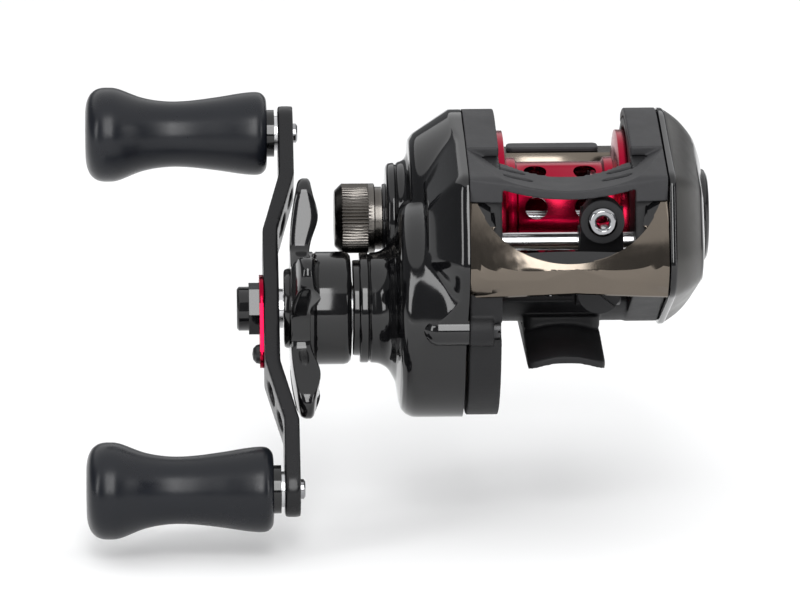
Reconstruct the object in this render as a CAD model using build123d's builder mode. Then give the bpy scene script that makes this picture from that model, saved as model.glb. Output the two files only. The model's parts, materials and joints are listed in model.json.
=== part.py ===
from build123d import *
from math import acos, cos, pi, radians, sin, sqrt, tan
import os

# Low-profile baitcasting reel, right-hand retrieve, in millimetres.
# Frame: +Z up, +Y towards the angler, -Y towards the rod tip, -X towards the handle.
# The origin is the crown of the arched underside of the foot, half way along it. Every axle is parallel to X,
# so the place of an axle is a (y, z) pair, and a turned piece is a list of (x, radius) corners.

# ---------------------------------------------------------------- driving dimensions
SPOOL_HEIGHT = 21.7  # spool axis above the foot
GEAR_MODULE = 0.5
DRIVE_TEETH, PINION_TEETH = 66, 10  # 6.6 turns of the spool for one of the handle
DRIVE_ANGLE = 51.6  # degrees above the horizontal from the drive shaft back up to the spool
COG_MODULE = 0.6
DRIVE_COG_TEETH, WORM_COG_TEETH = 20, 14
WORM_ANGLE = 37.5  # degrees above the horizontal from the drive shaft forward to the worm
HANDLE_LEAN = 45.2  # degrees that the upper handle arm leans back from upright
HANDLE_REACH = 40.0  # drive axis to knob axis
GUIDE_REST = 6.3  # where the line guide stands along the spool
FIT = 0.05  # running gap on a radius
SNUG = 0.02  # gap on a radius between pieces fixed together

GEAR_DISTANCE = (DRIVE_TEETH + PINION_TEETH) * GEAR_MODULE / 2
COG_DISTANCE = (DRIVE_COG_TEETH + WORM_COG_TEETH) * COG_MODULE / 2
SPOOL = (0.0, SPOOL_HEIGHT)
DRIVE = (-GEAR_DISTANCE * cos(radians(DRIVE_ANGLE)), SPOOL_HEIGHT - GEAR_DISTANCE * sin(radians(DRIVE_ANGLE)))
WORM = (DRIVE[0] - COG_DISTANCE * cos(radians(WORM_ANGLE)),
        DRIVE[1] + COG_DISTANCE * sin(radians(WORM_ANGLE)))
GUIDE_BAR = (-27.5, 23.4)
EYE_HEIGHT = 28.5

# side outline of the body: circles whose hull it is, as (y, z, radius)
DOME_R, CASE_R = 21.0, 21.2
DOME = (*SPOOL, DOME_R)
LIP = (-29.2, 33.6, 3.5)
CHIN = (-30.5, 20.0, 7.0)
TAIL = (15.5, 15.5, 7.2)
CASE = (*DRIVE, CASE_R)
SKIN = 1.5  # wall of the covers
INSET = 0.2  # gap between a cover and the frame under it
FRAME_RING = (0.0, SPOOL_HEIGHT - 0.6, 19.8)

# stations along X
LEFT, RIGHT = -18.8, 18.9  # outer faces of the frame's two plates
INNER = 12.6  # inner faces of the two plates, either side of the spool
WEB = -16.2  # spool side of the wall in the left plate
PART_LINE = 0.1  # gap between the frame and the side plates
FLANGE_R, FLANGE_OUT = 16.8, 13.2
SHAFT_R = 1.2
CASE_FACE = -31.5
ARM_OUT, ARM_THICK, ARM_STEP = -57.5, 3.0, 3.4  # outer face at the middle, thickness, step in to the knobs
ARM_IN = ARM_OUT + ARM_THICK
BEND_FROM, BEND_TO = 14.6, 27.4  # where the arm slants, from the drive axis
GRIP_OUT, GRIP_IN = -91.6, -56.2
STAR_R = 25.0
BOLT_R = 1.0
BOLTS_LEFT = ((-32.3, 7.4), (-21.5, 33.5), (10.2, 3.4))
BOLTS_RIGHT = ((-21.5, 33.5), (-29.8, 16.2))
POST_REACH = 8.0  # yoke posts from the spool axis
POSTS = [
    (SPOOL[0] + side * POST_REACH * sin(radians(DRIVE_ANGLE)),
     SPOOL[1] - side * POST_REACH * cos(radians(DRIVE_ANGLE)))
    for side in (-1, 1)
]
THUMB_TRAVEL = 5.0
THUMB_PIN = (17.9, SPOOL_HEIGHT + THUMB_TRAVEL / 2)  # at rest; it ends as far below the spool axis
THUMB_PIN_R = 0.8
CAM_SWING = 15.9  # degrees of the clutch cam for the whole travel of the thumb bar

os.makedirs("parts", exist_ok=True)


# ---------------------------------------------------------------- helpers
def across(centre, x=0.0, turn=0.0):
    """Plane across an axle: normal +X, local x turned from +Y towards +Z by turn degrees."""
    a = radians(turn)
    return Plane(origin=(x, *centre), x_dir=(0, cos(a), sin(a)), z_dir=(1, 0, 0))


def turned(centre, corners, mode=Mode.ADD):
    """Solid of revolution about the axle at centre, from (x, radius) corners."""
    with BuildSketch(Plane(origin=(0, *centre), x_dir=(1, 0, 0), z_dir=(0, -1, 0))) as section:
        with BuildLine():
            Polyline(*corners, close=True)
        make_face()
    revolve(section.sketch, axis=Axis((0, *centre), (1, 0, 0)), mode=mode)


def ring(centre, start, end, outer, inner=0.0, mode=Mode.ADD):
    """Disc or ring on an axle from x = start to x = end."""
    with BuildSketch(across(centre, start)) as section:
        Circle(outer)
        if inner:
            Circle(inner, mode=Mode.SUBTRACT)
    extrude(section.sketch, amount=end - start, mode=mode)


def bearing(centre, start, end, outer, inner):
    """Shielded ball bearing, its races and shields drawn as one turned piece."""
    wall = 0.28 * (outer - inner)
    deep = 0.25
    turned(centre, [
        (start, inner), (start, inner + wall), (start + deep, inner + wall), (start + deep, outer - wall),
        (start, outer - wall), (start, outer), (end, outer), (end, outer - wall), (end - deep, outer - wall),
        (end - deep, inner + wall), (end, inner + wall), (end, inner),
    ])


def outline(x, circles, grow=0.0):
    """Face at x: the hull of circles, each (y, z, radius), all grown by grow."""
    with BuildSketch(Plane.YZ.offset(x)) as face:
        with BuildLine():
            for y, z, radius in circles:
                CenterArc((y, z), radius + grow, 0, 360)
        make_hull()
    return face.sketch


def slab(x_from, x_to, circles, grow=0.0, mode=Mode.ADD):
    """Straight block between two stations with a hull outline."""
    extrude(outline(x_from, circles, grow), amount=x_to - x_from, mode=mode)


def hexagon(centre, start, end, across_flats, bore=0.0, mode=Mode.ADD):
    with BuildSketch(across(centre, start)) as section:
        RegularPolygon(across_flats / 2, 6, major_radius=False)
        if bore:
            Circle(bore, mode=Mode.SUBTRACT)
    extrude(section.sketch, amount=end - start, mode=mode)


def gear_corners(teeth, module, shift, thin=0.06, steps=4):
    """Corners of a spur gear with involute flanks, with a tooth centred on the local x axis."""
    pressure = radians(20)
    pitch_r = module * teeth / 2
    base_r = pitch_r * cos(pressure)
    tip_r = pitch_r + module * (1 + shift)
    root_r = pitch_r - module * (1.25 - shift)
    half_pitch = pi / (2 * teeth) + 2 * shift * tan(pressure) / teeth - thin / (2 * pitch_r)

    def half_angle(radius):
        a = acos(min(1.0, base_r / radius))
        return half_pitch + (tan(pressure) - pressure) - (tan(a) - a)

    start_r = max(base_r, root_r)
    radii = [start_r + (tip_r - start_r) * i / steps for i in range(steps + 1)]
    flank = [(r, half_angle(r)) for r in radii]
    if root_r < start_r:
        flank.insert(0, (root_r, half_angle(start_r)))
    tooth = [(r, -a) for r, a in flank] + [(r, a) for r, a in reversed(flank)]
    corners = []
    for k in range(teeth):
        middle = 2 * pi * k / teeth
        corners += [(r * cos(middle + a), r * sin(middle + a)) for r, a in tooth]
    return corners


def spur_gear(centre, start, end, teeth, module, shift, turn, bore):
    """Spur gear with a tooth centred at turn degrees from +Y towards +Z."""
    with BuildSketch(across(centre, start, turn)) as section:
        with BuildLine():
            Polyline(*gear_corners(teeth, module, shift), close=True)
        make_face()
        Circle(bore, mode=Mode.SUBTRACT)
    extrude(section.sketch, amount=end - start)


def finish(piece, name):
    """Labels a finished piece and writes it to its own file."""
    piece.part.label = name
    export_step(piece.part, f"parts/{name}.step")


# ---------------------------------------------------------------- frame and foot
FOOT_LENGTH, FOOT_WIDTH, FOOT_ARCH_R = 60.0, 14.8, 18.0
# thickness at the ends and under the stem, half stem length
FOOT_END, FOOT_MIDDLE, STEM_HALF = 1.4, 3.4, 13.0
DECK_IN, DECK_OUT = 17.3, 19.6
DECK_FROM, DECK_TO = 220, 332  # degrees round the ring, from +Y towards +Z
FRAME_CIRCLES = [
    FRAME_RING,
    (LIP[0], LIP[1], LIP[2] - SKIN - INSET),
    (CHIN[0], CHIN[1], CHIN[2] - SKIN - INSET - 0.1),
    (TAIL[0], TAIL[1], TAIL[2] - 1.2),
]
LEFT_PLATE = FRAME_CIRCLES + [(*DRIVE, CASE_R - 0.4)]
SEAT_R = 5.0  # outer radius of the spool bearings
BOSS_R = 6.4
CAM_BOSS_R = 6.0
BOLT_HEAD_R, BOLT_HEAD = 1.7, 1.3


def foot_section(y, thick):
    """Arched cross-section of the foot."""
    half = FOOT_WIDTH / 2
    sag = FOOT_ARCH_R - sqrt(FOOT_ARCH_R**2 - half**2)
    with BuildSketch(Plane(origin=(0, y, 0), x_dir=(1, 0, 0), z_dir=(0, -1, 0))) as section:
        with BuildLine():
            ThreePointArc((-half, -sag), (0, 0), (half, -sag))
            Line((half, -sag), (half, thick - sag))
            ThreePointArc((half, thick - sag), (0, thick), (-half, thick - sag))
            Line((-half, thick - sag), (-half, -sag))
        make_face()
    return section.sketch


with BuildPart() as frame:
    slab(LEFT, -INNER, LEFT_PLATE)
    slab(RIGHT, INNER, FRAME_CIRCLES)
    # lug for the front screw of the gear side plate
    slab(LEFT, -INNER - 1.6, [(*BOLTS_LEFT[0], 3.2), (BOLTS_LEFT[0][0] + 6, BOLTS_LEFT[0][1], 4.0)])
    # floor under the spool
    with BuildSketch(Plane.YZ.offset(-INNER - 0.5)):
        with BuildLine():
            inside = CenterArc(FRAME_RING[:2], DECK_IN, DECK_FROM, DECK_TO - DECK_FROM)
            outside = CenterArc(FRAME_RING[:2], DECK_OUT, DECK_FROM, DECK_TO - DECK_FROM)
            Line(inside @ 0, outside @ 0)
            Line(inside @ 1, outside @ 1)
        make_face()
    extrude(amount=2 * INNER + 1)
    # foot with its stem
    for y_a, thick_a, y_b, thick_b in (
        (-FOOT_LENGTH / 2, FOOT_END, -STEM_HALF, FOOT_MIDDLE),
        (-STEM_HALF, FOOT_MIDDLE, STEM_HALF, FOOT_MIDDLE),
        (STEM_HALF, FOOT_MIDDLE, FOOT_LENGTH / 2, FOOT_END),
    ):
        loft([foot_section(y_a, thick_a).face(), foot_section(y_b, thick_b).face()], ruled=True)
    with BuildSketch(Plane.XY.offset(2.4)):
        RectangleRounded(FOOT_WIDTH, 2 * STEM_HALF, 2.0)
    extrude(amount=2.6)
    foot_corners = frame.edges().filter_by(Axis.Z).filter_by(lambda e: abs(abs(e.center().Y) - 30) < 0.01)
    fillet(foot_corners, 2.6)
    # boss for the spool bearing, boss that the clutch cam turns on
    ring(SPOOL, LEFT, RIGHT, FLANGE_R + 0.6, mode=Mode.SUBTRACT)
    ring(SPOOL, LEFT, WEB, FLANGE_R + 0.6)
    ring(SPOOL, WEB, -13.4, BOSS_R)
    ring(SPOOL, LEFT - 0.95, LEFT, CAM_BOSS_R)
    ring(SPOOL, LEFT - 0.95, -13.4, 3.4, mode=Mode.SUBTRACT)
    ring(SPOOL, -16.75, -13.4, SEAT_R + SNUG, mode=Mode.SUBTRACT)
    # seats in both plates
    ring(DRIVE, LEFT, -16.4, 4.0 + SNUG, mode=Mode.SUBTRACT)
    ring(WORM, LEFT, RIGHT, 2.6 + SNUG, mode=Mode.SUBTRACT)
    ring(GUIDE_BAR, -18.0, 18.0, 1.7 + SNUG, mode=Mode.SUBTRACT)
    for post in POSTS:
        ring(post, LEFT, -16.9, BOLT_R + SNUG, mode=Mode.SUBTRACT)
    for start, end in ((LEFT, -INNER), (INNER, 15.2)):
        with BuildSketch(across(THUMB_PIN, start, -90)):
            with Locations((THUMB_TRAVEL / 2, 0)):
                SlotCenterToCenter(THUMB_TRAVEL + 0.6, 2 * THUMB_PIN_R + 0.2)
        extrude(amount=end - start, mode=Mode.SUBTRACT)
    for place in BOLTS_LEFT:
        ring(place, LEFT, -INNER, BOLT_R + 0.1, mode=Mode.SUBTRACT)
        ring(place, -INNER - 1.7, -INNER, BOLT_HEAD_R + 0.1, mode=Mode.SUBTRACT)
    for place in BOLTS_RIGHT:
        ring(place, INNER, RIGHT, BOLT_R + 0.1, mode=Mode.SUBTRACT)
        ring(place, INNER, INNER + 1.7, BOLT_HEAD_R + 0.1, mode=Mode.SUBTRACT)
finish(frame, "frame")

# ---------------------------------------------------------------- covers
COVER_HALF = 18.75
NOSE_CIRCLES = [LIP, (-33.0, 20.6, 7.5), (-22.0, 20.0, 7.2)]
NOSE_MIDDLE, NOSE_SIDE = -40.0, -37.4  # front of the nose at its middle and at its sides
NOSE_BACK = -25.0
WINDOW_TOP, WINDOW_A, WINDOW_B = 36.2, 18.1, 14.4  # line window: the lower half of an ellipse
REST_CIRCLES = [DOME, (-30.6, 33.6, 3.5)]
REST_MIDDLE, REST_SIDE = -34.0, -32.4  # front of the thumb rest
REST_BACK, BRIDGE_BACK = 11.0, -18.2
SADDLE_MIDDLE, SADDLE_SIDE = 34.6, 39.5
BRIDGE_THICK = 1.7


def plan_arc(middle, side, back):
    """Plan with an arc across the front."""
    half = COVER_HALF + 0.3
    with BuildSketch(Plane.XY) as plan:
        with BuildLine():
            ThreePointArc((-half, side), (0, middle), (half, side))
            Polyline((half, side), (half, back), (-half, back), (-half, side))
        make_face()
    return plan.sketch


def saddle_plane(height):
    """Region above the arc that the saddle of the thumb rest follows, seen along Y."""
    half = COVER_HALF + 0.3
    with BuildSketch(Plane.XZ.offset(-BRIDGE_BACK)) as region:
        with BuildLine():
            ThreePointArc((-half, SADDLE_SIDE + height), (0, SADDLE_MIDDLE + height),
                          (half, SADDLE_SIDE + height))
            Polyline((half, SADDLE_SIDE + height), (half, 60), (-half, 60), (-half, SADDLE_SIDE + height))
        make_face()
    return region.sketch


with BuildPart() as nose_hollow:
    slab(-20, 20, NOSE_CIRCLES, -SKIN)
    extrude(plan_arc(NOSE_MIDDLE + SKIN, NOSE_SIDE + SKIN, 0), amount=50, mode=Mode.INTERSECT)

with BuildPart() as nose_cover:
    slab(-COVER_HALF, COVER_HALF, NOSE_CIRCLES)
    extrude(plan_arc(NOSE_MIDDLE, NOSE_SIDE, NOSE_BACK), amount=50, mode=Mode.INTERSECT)
    add(nose_hollow.part, mode=Mode.SUBTRACT)
    slab(-20, 0, LEFT_PLATE, INSET - 0.08, mode=Mode.SUBTRACT)
    slab(0, 20, FRAME_CIRCLES, INSET - 0.08, mode=Mode.SUBTRACT)
    with BuildSketch(Plane.XZ.offset(20)):
        with Locations((0, WINDOW_TOP)):
            Ellipse(WINDOW_A, WINDOW_B)
    extrude(amount=25, mode=Mode.SUBTRACT)
    slab(-20, 20, REST_CIRCLES, 0.1, mode=Mode.SUBTRACT)
finish(nose_cover, "nose_cover")

with BuildPart() as thumb_rest:
    slab(-COVER_HALF, COVER_HALF, REST_CIRCLES)
    extrude(plan_arc(REST_MIDDLE, REST_SIDE, REST_BACK), amount=60, mode=Mode.INTERSECT)
    with BuildSketch(Plane.YZ.offset(-20)):
        with BuildLine():
            Polyline((20, 37), (-16, 37), (-24, 33.5), (-30, 32.2), (-40, 32.2), (-40, 60), (20, 60),
                     close=True)
        make_face()
    extrude(amount=40, mode=Mode.INTERSECT)
    with BuildSketch(Plane.XY.offset(20)):
        with Locations((0, 20 + BRIDGE_BACK)):
            Rectangle(2 * INNER, 40)
    extrude(amount=40, mode=Mode.SUBTRACT)
    extrude(saddle_plane(0), amount=30, mode=Mode.SUBTRACT)
    with BuildSketch(Plane.XZ.offset(-BRIDGE_BACK)):
        with BuildLine():
            ThreePointArc((-INNER, 34.7), (0, SADDLE_MIDDLE - BRIDGE_THICK), (INNER, 34.7))
            Polyline((INNER, 34.7), (INNER, 20), (-INNER, 20), (-INNER, 34.7))
        make_face()
    extrude(amount=30, mode=Mode.SUBTRACT)
    slab(-20, -INNER, FRAME_CIRCLES, INSET - 0.08, mode=Mode.SUBTRACT)
    slab(INNER, 20, FRAME_CIRCLES, INSET - 0.08, mode=Mode.SUBTRACT)
    # two slots on each side of the bridge
    for side in (-1, 1):
        for y, x in ((-22.6, 10.6), (-27.6, 9.4)):
            with BuildSketch(Plane.XY.offset(25)):
                with Locations((side * x, y)):
                    SlotOverall(5.6, 1.9, rotation=-side * 4)
            extrude(amount=20, mode=Mode.SUBTRACT)
finish(thumb_rest, "thumb_rest")

SHOULDER, DOME_FACE = -21.5, -29.0
BEARING_IN, BEARING_OUT = -30.0, -37.5  # one-way bearing
ONE_WAY_R, SLEEVE_R = 7.5, 3.95
NECK_END = -40.4
GEAR_CIRCLES = [DOME, LIP, CHIN, TAIL, CASE]
SPIGOT_R, SPIGOT_END = 5.15, -38.1
PINION_SEAT_R, PINION_SEAT = 4.0, (-30.8, -27.9)
with BuildPart() as gear_side_plate:
    left = LEFT - PART_LINE
    slab(SHOULDER, left, GEAR_CIRCLES)
    # nose and tail fall back to the shoulder of the case
    loft([outline(SHOULDER, [LIP, CHIN, TAIL, DOME]).face(),
          outline(-26.5, [(-20, 28, 3.0), (-23, 19, 5.0), (10, 15, 5.0), (*SPOOL, 17.4)]).face()])
    turned(SPOOL, [(left, 0), (left, DOME_R), (SHOULDER, DOME_R), (-28.4, 16.2), (DOME_FACE, 15.2),
                   (-29.6, 10.7),
                   (-33, 10.7), (-33.6, 10.0), (-33.6, 6.7), (-34.3, 6.7), (-34.3, SPIGOT_R),
                   (-35.1, SPIGOT_R), (-35.1, SPIGOT_R - 0.6), (-36.1, SPIGOT_R - 0.6), (-36.1, SPIGOT_R),
                   (SPIGOT_END, SPIGOT_R), (SPIGOT_END, 0)])
    turned(DRIVE, [(left, 0), (left, CASE_R), (-29, CASE_R), (-30.6, 20.4), (CASE_FACE, 18.2), (-32.2, 14.4),
                   (-33.6, 11.6), (-35.4, 10.6), (-39.1, 10.6), (-39.1, 9.15), (NECK_END, 9.15),
                   (NECK_END, 0)])
    # boss of the front screw
    turned(BOLTS_LEFT[0], [(left, 0), (left, 3.0), (-25.5, 3.0), (-27.9, 0)])
    slab(-25.5, left, [(*BOLTS_LEFT[0], 3.0), (BOLTS_LEFT[0][0] + 6, BOLTS_LEFT[0][1], 3.8)])
    # room for the gears, the yoke and the clutch cam
    ring(DRIVE, -29.5, left, 19.0, mode=Mode.SUBTRACT)
    ring(SPOOL, -26.4, left, 15.4, mode=Mode.SUBTRACT)
    ring(SPOOL, -20.0, left, 19.8, mode=Mode.SUBTRACT)
    ring(WORM, -20.9, left, 5.5, mode=Mode.SUBTRACT)
    # bores
    ring(SPOOL, PINION_SEAT[0], left, PINION_SEAT_R + SNUG, mode=Mode.SUBTRACT)
    ring(SPOOL, SPIGOT_END, left, 1.7, mode=Mode.SUBTRACT)
    ring(SPOOL, SPIGOT_END, -33.0, 3.15, mode=Mode.SUBTRACT)
    ring(DRIVE, -37.6, left, ONE_WAY_R + SNUG, mode=Mode.SUBTRACT)
    ring(DRIVE, NECK_END, left, 4.6, mode=Mode.SUBTRACT)
    for y, z in BOLTS_LEFT:
        ring((y, z), -20.9, left, BOLT_R + SNUG, mode=Mode.SUBTRACT)
finish(gear_side_plate, "gear_side_plate")

PALM_FLAT, PALM_FACE, DIAL_OUT = 21.4, 27.4, 28.7
PALM_CIRCLES = [DOME, LIP, CHIN, TAIL]
PALM_FAR = [(*SPOOL, 15.5), (-20.0, 29.0, 3.5), (-23.5, 19.5, 5.0), (9.0, 16.0, 6.5)]
DIAL_R, DIAL_STEM_R = 9.0, 2.5
with BuildPart() as palm_side_plate:
    right = RIGHT + PART_LINE
    slab(right, PALM_FLAT, PALM_CIRCLES)
    loft([outline(PALM_FLAT, PALM_CIRCLES).face(), outline(PALM_FACE, PALM_FAR).face()])
    slab(right, PALM_FLAT, PALM_CIRCLES, -2.4, mode=Mode.SUBTRACT)
    loft([outline(PALM_FLAT, PALM_CIRCLES, -2.4).face(), outline(PALM_FACE - 2.4, PALM_FAR, -2.0).face()],
         mode=Mode.SUBTRACT)
    ring(SPOOL, PALM_FACE - 1.0, PALM_FACE + 1, DIAL_R + 0.1, mode=Mode.SUBTRACT)
    ring(SPOOL, RIGHT, PALM_FACE + 1, DIAL_STEM_R + FIT, mode=Mode.SUBTRACT)
    for place in BOLTS_RIGHT:
        ring(place, right, 23.0, 2.2)
        ring(place, right, 23.0, BOLT_R + SNUG, mode=Mode.SUBTRACT)
finish(palm_side_plate, "palm_side_plate")

BRAKE_OUT = 20.1
PRONG_REACH, PRONG_R = 7.3, 0.6
with BuildPart() as brake_plate:
    ring(SPOOL, RIGHT + PART_LINE, BRAKE_OUT, 17.9)
    ring(SPOOL, 14.6, RIGHT + PART_LINE, BOSS_R)
    ring(SPOOL, 14.6, 17.95, SEAT_R + SNUG, mode=Mode.SUBTRACT)
    ring(SPOOL, 14.6, 19.4, 1.6, mode=Mode.SUBTRACT)
    with BuildSketch(across(SPOOL, RIGHT)):
        with PolarLocations(PRONG_REACH, 3):
            Circle(PRONG_R + 0.1)
    extrude(amount=2, mode=Mode.SUBTRACT)
finish(brake_plate, "brake_plate")


def bolt(place, head_x, length, way, head_r, shank_r):
    """Slotted screw along X: its head starts at head_x and its shank goes the way given."""
    ring(place, head_x, head_x + way * BOLT_HEAD, head_r)
    ring(place, head_x + way * BOLT_HEAD, head_x + way * length, shank_r)
    with BuildSketch(across(place, head_x)) as slot:
        Rectangle(2 * head_r + 1, 0.5)
    extrude(slot.sketch, amount=way * 0.5, mode=Mode.SUBTRACT)


with BuildPart() as side_plate_screws:
    for place in BOLTS_LEFT:
        bolt(place, -INNER - 0.3, 7.8, -1, BOLT_HEAD_R, BOLT_R)
    for place in BOLTS_RIGHT:
        bolt(place, INNER + 0.3, 9.6, 1, BOLT_HEAD_R, BOLT_R)
finish(side_plate_screws, "side_plate_screws")

# ---------------------------------------------------------------- bearings and fixed shafts
with BuildPart() as left_spool_bearing:
    bearing(SPOOL, -16.7, -13.5, SEAT_R, SHAFT_R + FIT)
finish(left_spool_bearing, "left_spool_bearing")

with BuildPart() as right_spool_bearing:
    bearing(SPOOL, 14.7, 17.9, SEAT_R, SHAFT_R + FIT)
finish(right_spool_bearing, "right_spool_bearing")

JOURNAL_R = 2.0
with BuildPart() as pinion_bearing:
    bearing(SPOOL, PINION_SEAT[0] + 0.05, PINION_SEAT[1], PINION_SEAT_R, JOURNAL_R + FIT)
finish(pinion_bearing, "pinion_bearing")

DRIVE_END_R = 2.0
with BuildPart() as drive_shaft_bearing:
    bearing(DRIVE, LEFT + 0.1, -16.5, 4.0, DRIVE_END_R + FIT)
finish(drive_shaft_bearing, "drive_shaft_bearing")

with BuildPart() as one_way_bearing:
    ring(DRIVE, BEARING_OUT, BEARING_IN, ONE_WAY_R, SLEEVE_R + FIT)
    fillet(one_way_bearing.edges().filter_by(GeomType.CIRCLE).group_by(SortBy.RADIUS)[-1], 0.4)
finish(one_way_bearing, "one_way_bearing")

with BuildPart() as guide_bar:
    ring(GUIDE_BAR, -17.9, 17.9, 1.7)
    chamfer(guide_bar.edges().filter_by(GeomType.CIRCLE), 0.3)
finish(guide_bar, "guide_bar")

WORM_R, WORM_JOURNAL_R = 2.3, 1.4
with BuildPart() as worm_bushes:
    for start, end in ((LEFT + 0.1, -INNER - 0.1), (INNER + 0.1, RIGHT - 0.1)):
        ring(WORM, start, end, 2.6, WORM_JOURNAL_R + FIT)
finish(worm_bushes, "worm_bushes")

with BuildPart() as yoke_posts:
    for post in POSTS:
        ring(post, -25.9, -17.0, BOLT_R)
finish(yoke_posts, "yoke_posts")

SPRING_FROM, SPRING_TO, SPRING_R, SPRING_WIRE, SPRING_TURNS = -26.2, -21.1, 1.55, 0.4, 3.5
with BuildPart() as yoke_springs:
    for y, z in POSTS:
        start = SPRING_FROM + SPRING_WIRE / 2
        coil = SPRING_TO - SPRING_FROM - SPRING_WIRE
        with BuildLine() as wire:
            Helix(coil / SPRING_TURNS, coil, SPRING_R, center=(start, y, z), direction=(1, 0, 0))
        with BuildSketch(Plane(origin=wire.line @ 0, z_dir=wire.line % 0)):
            Circle(SPRING_WIRE / 2)
        sweep(path=wire.line, is_frenet=True)
finish(yoke_springs, "yoke_springs")

with BuildPart() as cast_control_shim:
    ring(SPOOL, -38.0, -37.55, 3.1)
finish(cast_control_shim, "cast_control_shim")

# ---------------------------------------------------------------- handle side, turning on the drive shaft
HEX_BORE = 2.55
with BuildPart() as drive_shaft:
    turned(DRIVE, [(-61.0, 0), (-61.0, 2.0), (ARM_OUT, 2.0), (ARM_OUT, 2.5), (-21.95, 2.5), (-21.95, 10.5),
                   (-21.45, 10.5), (-21.45, 2.5), (-18.85, 2.5), (-18.85, DRIVE_END_R), (-16.6, DRIVE_END_R),
                   (-16.6, 0)])
finish(drive_shaft, "drive_shaft")

GEAR_IN, GEAR_OUT = -22.55, -25.9
with BuildPart() as drive_gear:
    spur_gear(DRIVE, GEAR_OUT, GEAR_IN, DRIVE_TEETH, GEAR_MODULE, -0.4, DRIVE_ANGLE, HEX_BORE)
    ring(DRIVE, GEAR_OUT, -24.2, 12.6, mode=Mode.SUBTRACT)
    with BuildSketch(across(DRIVE, GEAR_OUT, 30)):
        with PolarLocations(14.0, 12):
            Circle(0.9)
    extrude(amount=4, mode=Mode.SUBTRACT)
finish(drive_gear, "drive_gear")

with BuildPart() as drag_washers:
    ring(DRIVE, GEAR_IN + 0.03, -21.98, 10.5, HEX_BORE)
    ring(DRIVE, -24.8, -24.23, 12.4, HEX_BORE)
finish(drag_washers, "drag_washers")

with BuildPart() as pressure_washer:
    ring(DRIVE, -26.4, -24.83, 11.8, HEX_BORE)
    chamfer(pressure_washer.edges().filter_by(GeomType.CIRCLE).group_by(SortBy.RADIUS)[-1], 0.3)
finish(pressure_washer, "pressure_washer")

RATCHET_TEETH, RATCHET_ROOT, RATCHET_TIP = 12, 6.6, 8.0
with BuildPart() as ratchet_wheel:
    with BuildSketch(across(DRIVE, -21.4)):
        with BuildLine():
            corners = []
            for k in range(RATCHET_TEETH):
                turn = 2 * pi * k / RATCHET_TEETH
                corners.append((RATCHET_TIP * cos(turn), RATCHET_TIP * sin(turn)))
                corners.append((RATCHET_ROOT * cos(turn + 0.06), RATCHET_ROOT * sin(turn + 0.06)))
            Polyline(*corners, close=True)
        make_face()
        Circle(HEX_BORE, mode=Mode.SUBTRACT)
    extrude(amount=0.8)
finish(ratchet_wheel, "ratchet_wheel")

COG_OUT, COG_IN = -20.4, -19.0
with BuildPart() as level_wind_cog:
    spur_gear(DRIVE, COG_OUT, COG_IN, DRIVE_COG_TEETH, COG_MODULE, -0.2, 180 - WORM_ANGLE, HEX_BORE)
finish(level_wind_cog, "level_wind_cog")

with BuildPart() as one_way_sleeve:
    ring(DRIVE, -38.5, -26.45, SLEEVE_R, HEX_BORE)
finish(one_way_sleeve, "one_way_sleeve")

with BuildPart() as spring_washers:
    for k in range(4):
        start = -41.7 + 0.8 * k
        turned(DRIVE, [(start, HEX_BORE), (start + 0.25, 4.3), (start + 0.65, 4.3), (start + 0.4, HEX_BORE)])
finish(spring_washers, "spring_washers")

STAR_HEX = 8.0
with BuildPart() as star_nut:
    hexagon(DRIVE, -49.0, -41.8, STAR_HEX, HEX_BORE)
finish(star_nut, "star_nut")

STAR_ARMS, STAR_TURN = 5, 77.0  # the first arm's angle from +Y towards +Z
with BuildPart() as star_drag:
    for k in range(STAR_ARMS):
        turn = STAR_TURN + 360 * k / STAR_ARMS
        with BuildSketch(across(DRIVE, -52.3, turn)):
            with BuildLine():
                CenterArc((7.0, 0), 5.2, 0, 360)
                CenterArc((STAR_R - 3.3, 0), 3.3, 0, 360)
            make_hull()
        extrude(amount=3.6)
    ring(DRIVE, -52.4, -48.6, 11.6)
    ring(DRIVE, -53.6, -52.4, 7.5)
    ring(DRIVE, -49.0, -40.7, 10.9)
    # the arms fall back towards their tips
    turned(DRIVE, [(-52.4, 17.0), (-50.4, 23.5), (-50.4, 26.0), (-52.4, 26.0)], mode=Mode.SUBTRACT)
    rim = star_drag.edges().filter_by(GeomType.CIRCLE).filter_by(lambda e: abs(e.radius - 10.9) < 0.01)
    chamfer(rim.sort_by(Axis.X)[-1], 0.6)
    ring(DRIVE, -44.5, -40.7, 8.4, mode=Mode.SUBTRACT)
    hexagon(DRIVE, -49.5, -40.7, STAR_HEX + 0.1, mode=Mode.SUBTRACT)
    ring(DRIVE, -53.6, -40.7, 2.6, mode=Mode.SUBTRACT)
finish(star_drag, "star_drag")

with BuildPart() as handle_spacer:
    ring(DRIVE, ARM_IN + 0.02, -53.72, 3.8, HEX_BORE)
finish(handle_spacer, "handle_spacer")


def arm_plane(x=0.0, reach=0.0):
    """Plane across the drive shaft whose local y runs up the handle arm, centred at a reach up the arm."""
    a = radians(HANDLE_LEAN)
    origin = (x, DRIVE[0] + reach * sin(a), DRIVE[1] + reach * cos(a))
    return Plane(origin=origin, x_dir=(0, cos(a), -sin(a)), z_dir=(1, 0, 0))


def knob_place(side):
    a = radians(HANDLE_LEAN)
    return (DRIVE[0] + side * HANDLE_REACH * sin(a), DRIVE[1] + side * HANDLE_REACH * cos(a))


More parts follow.
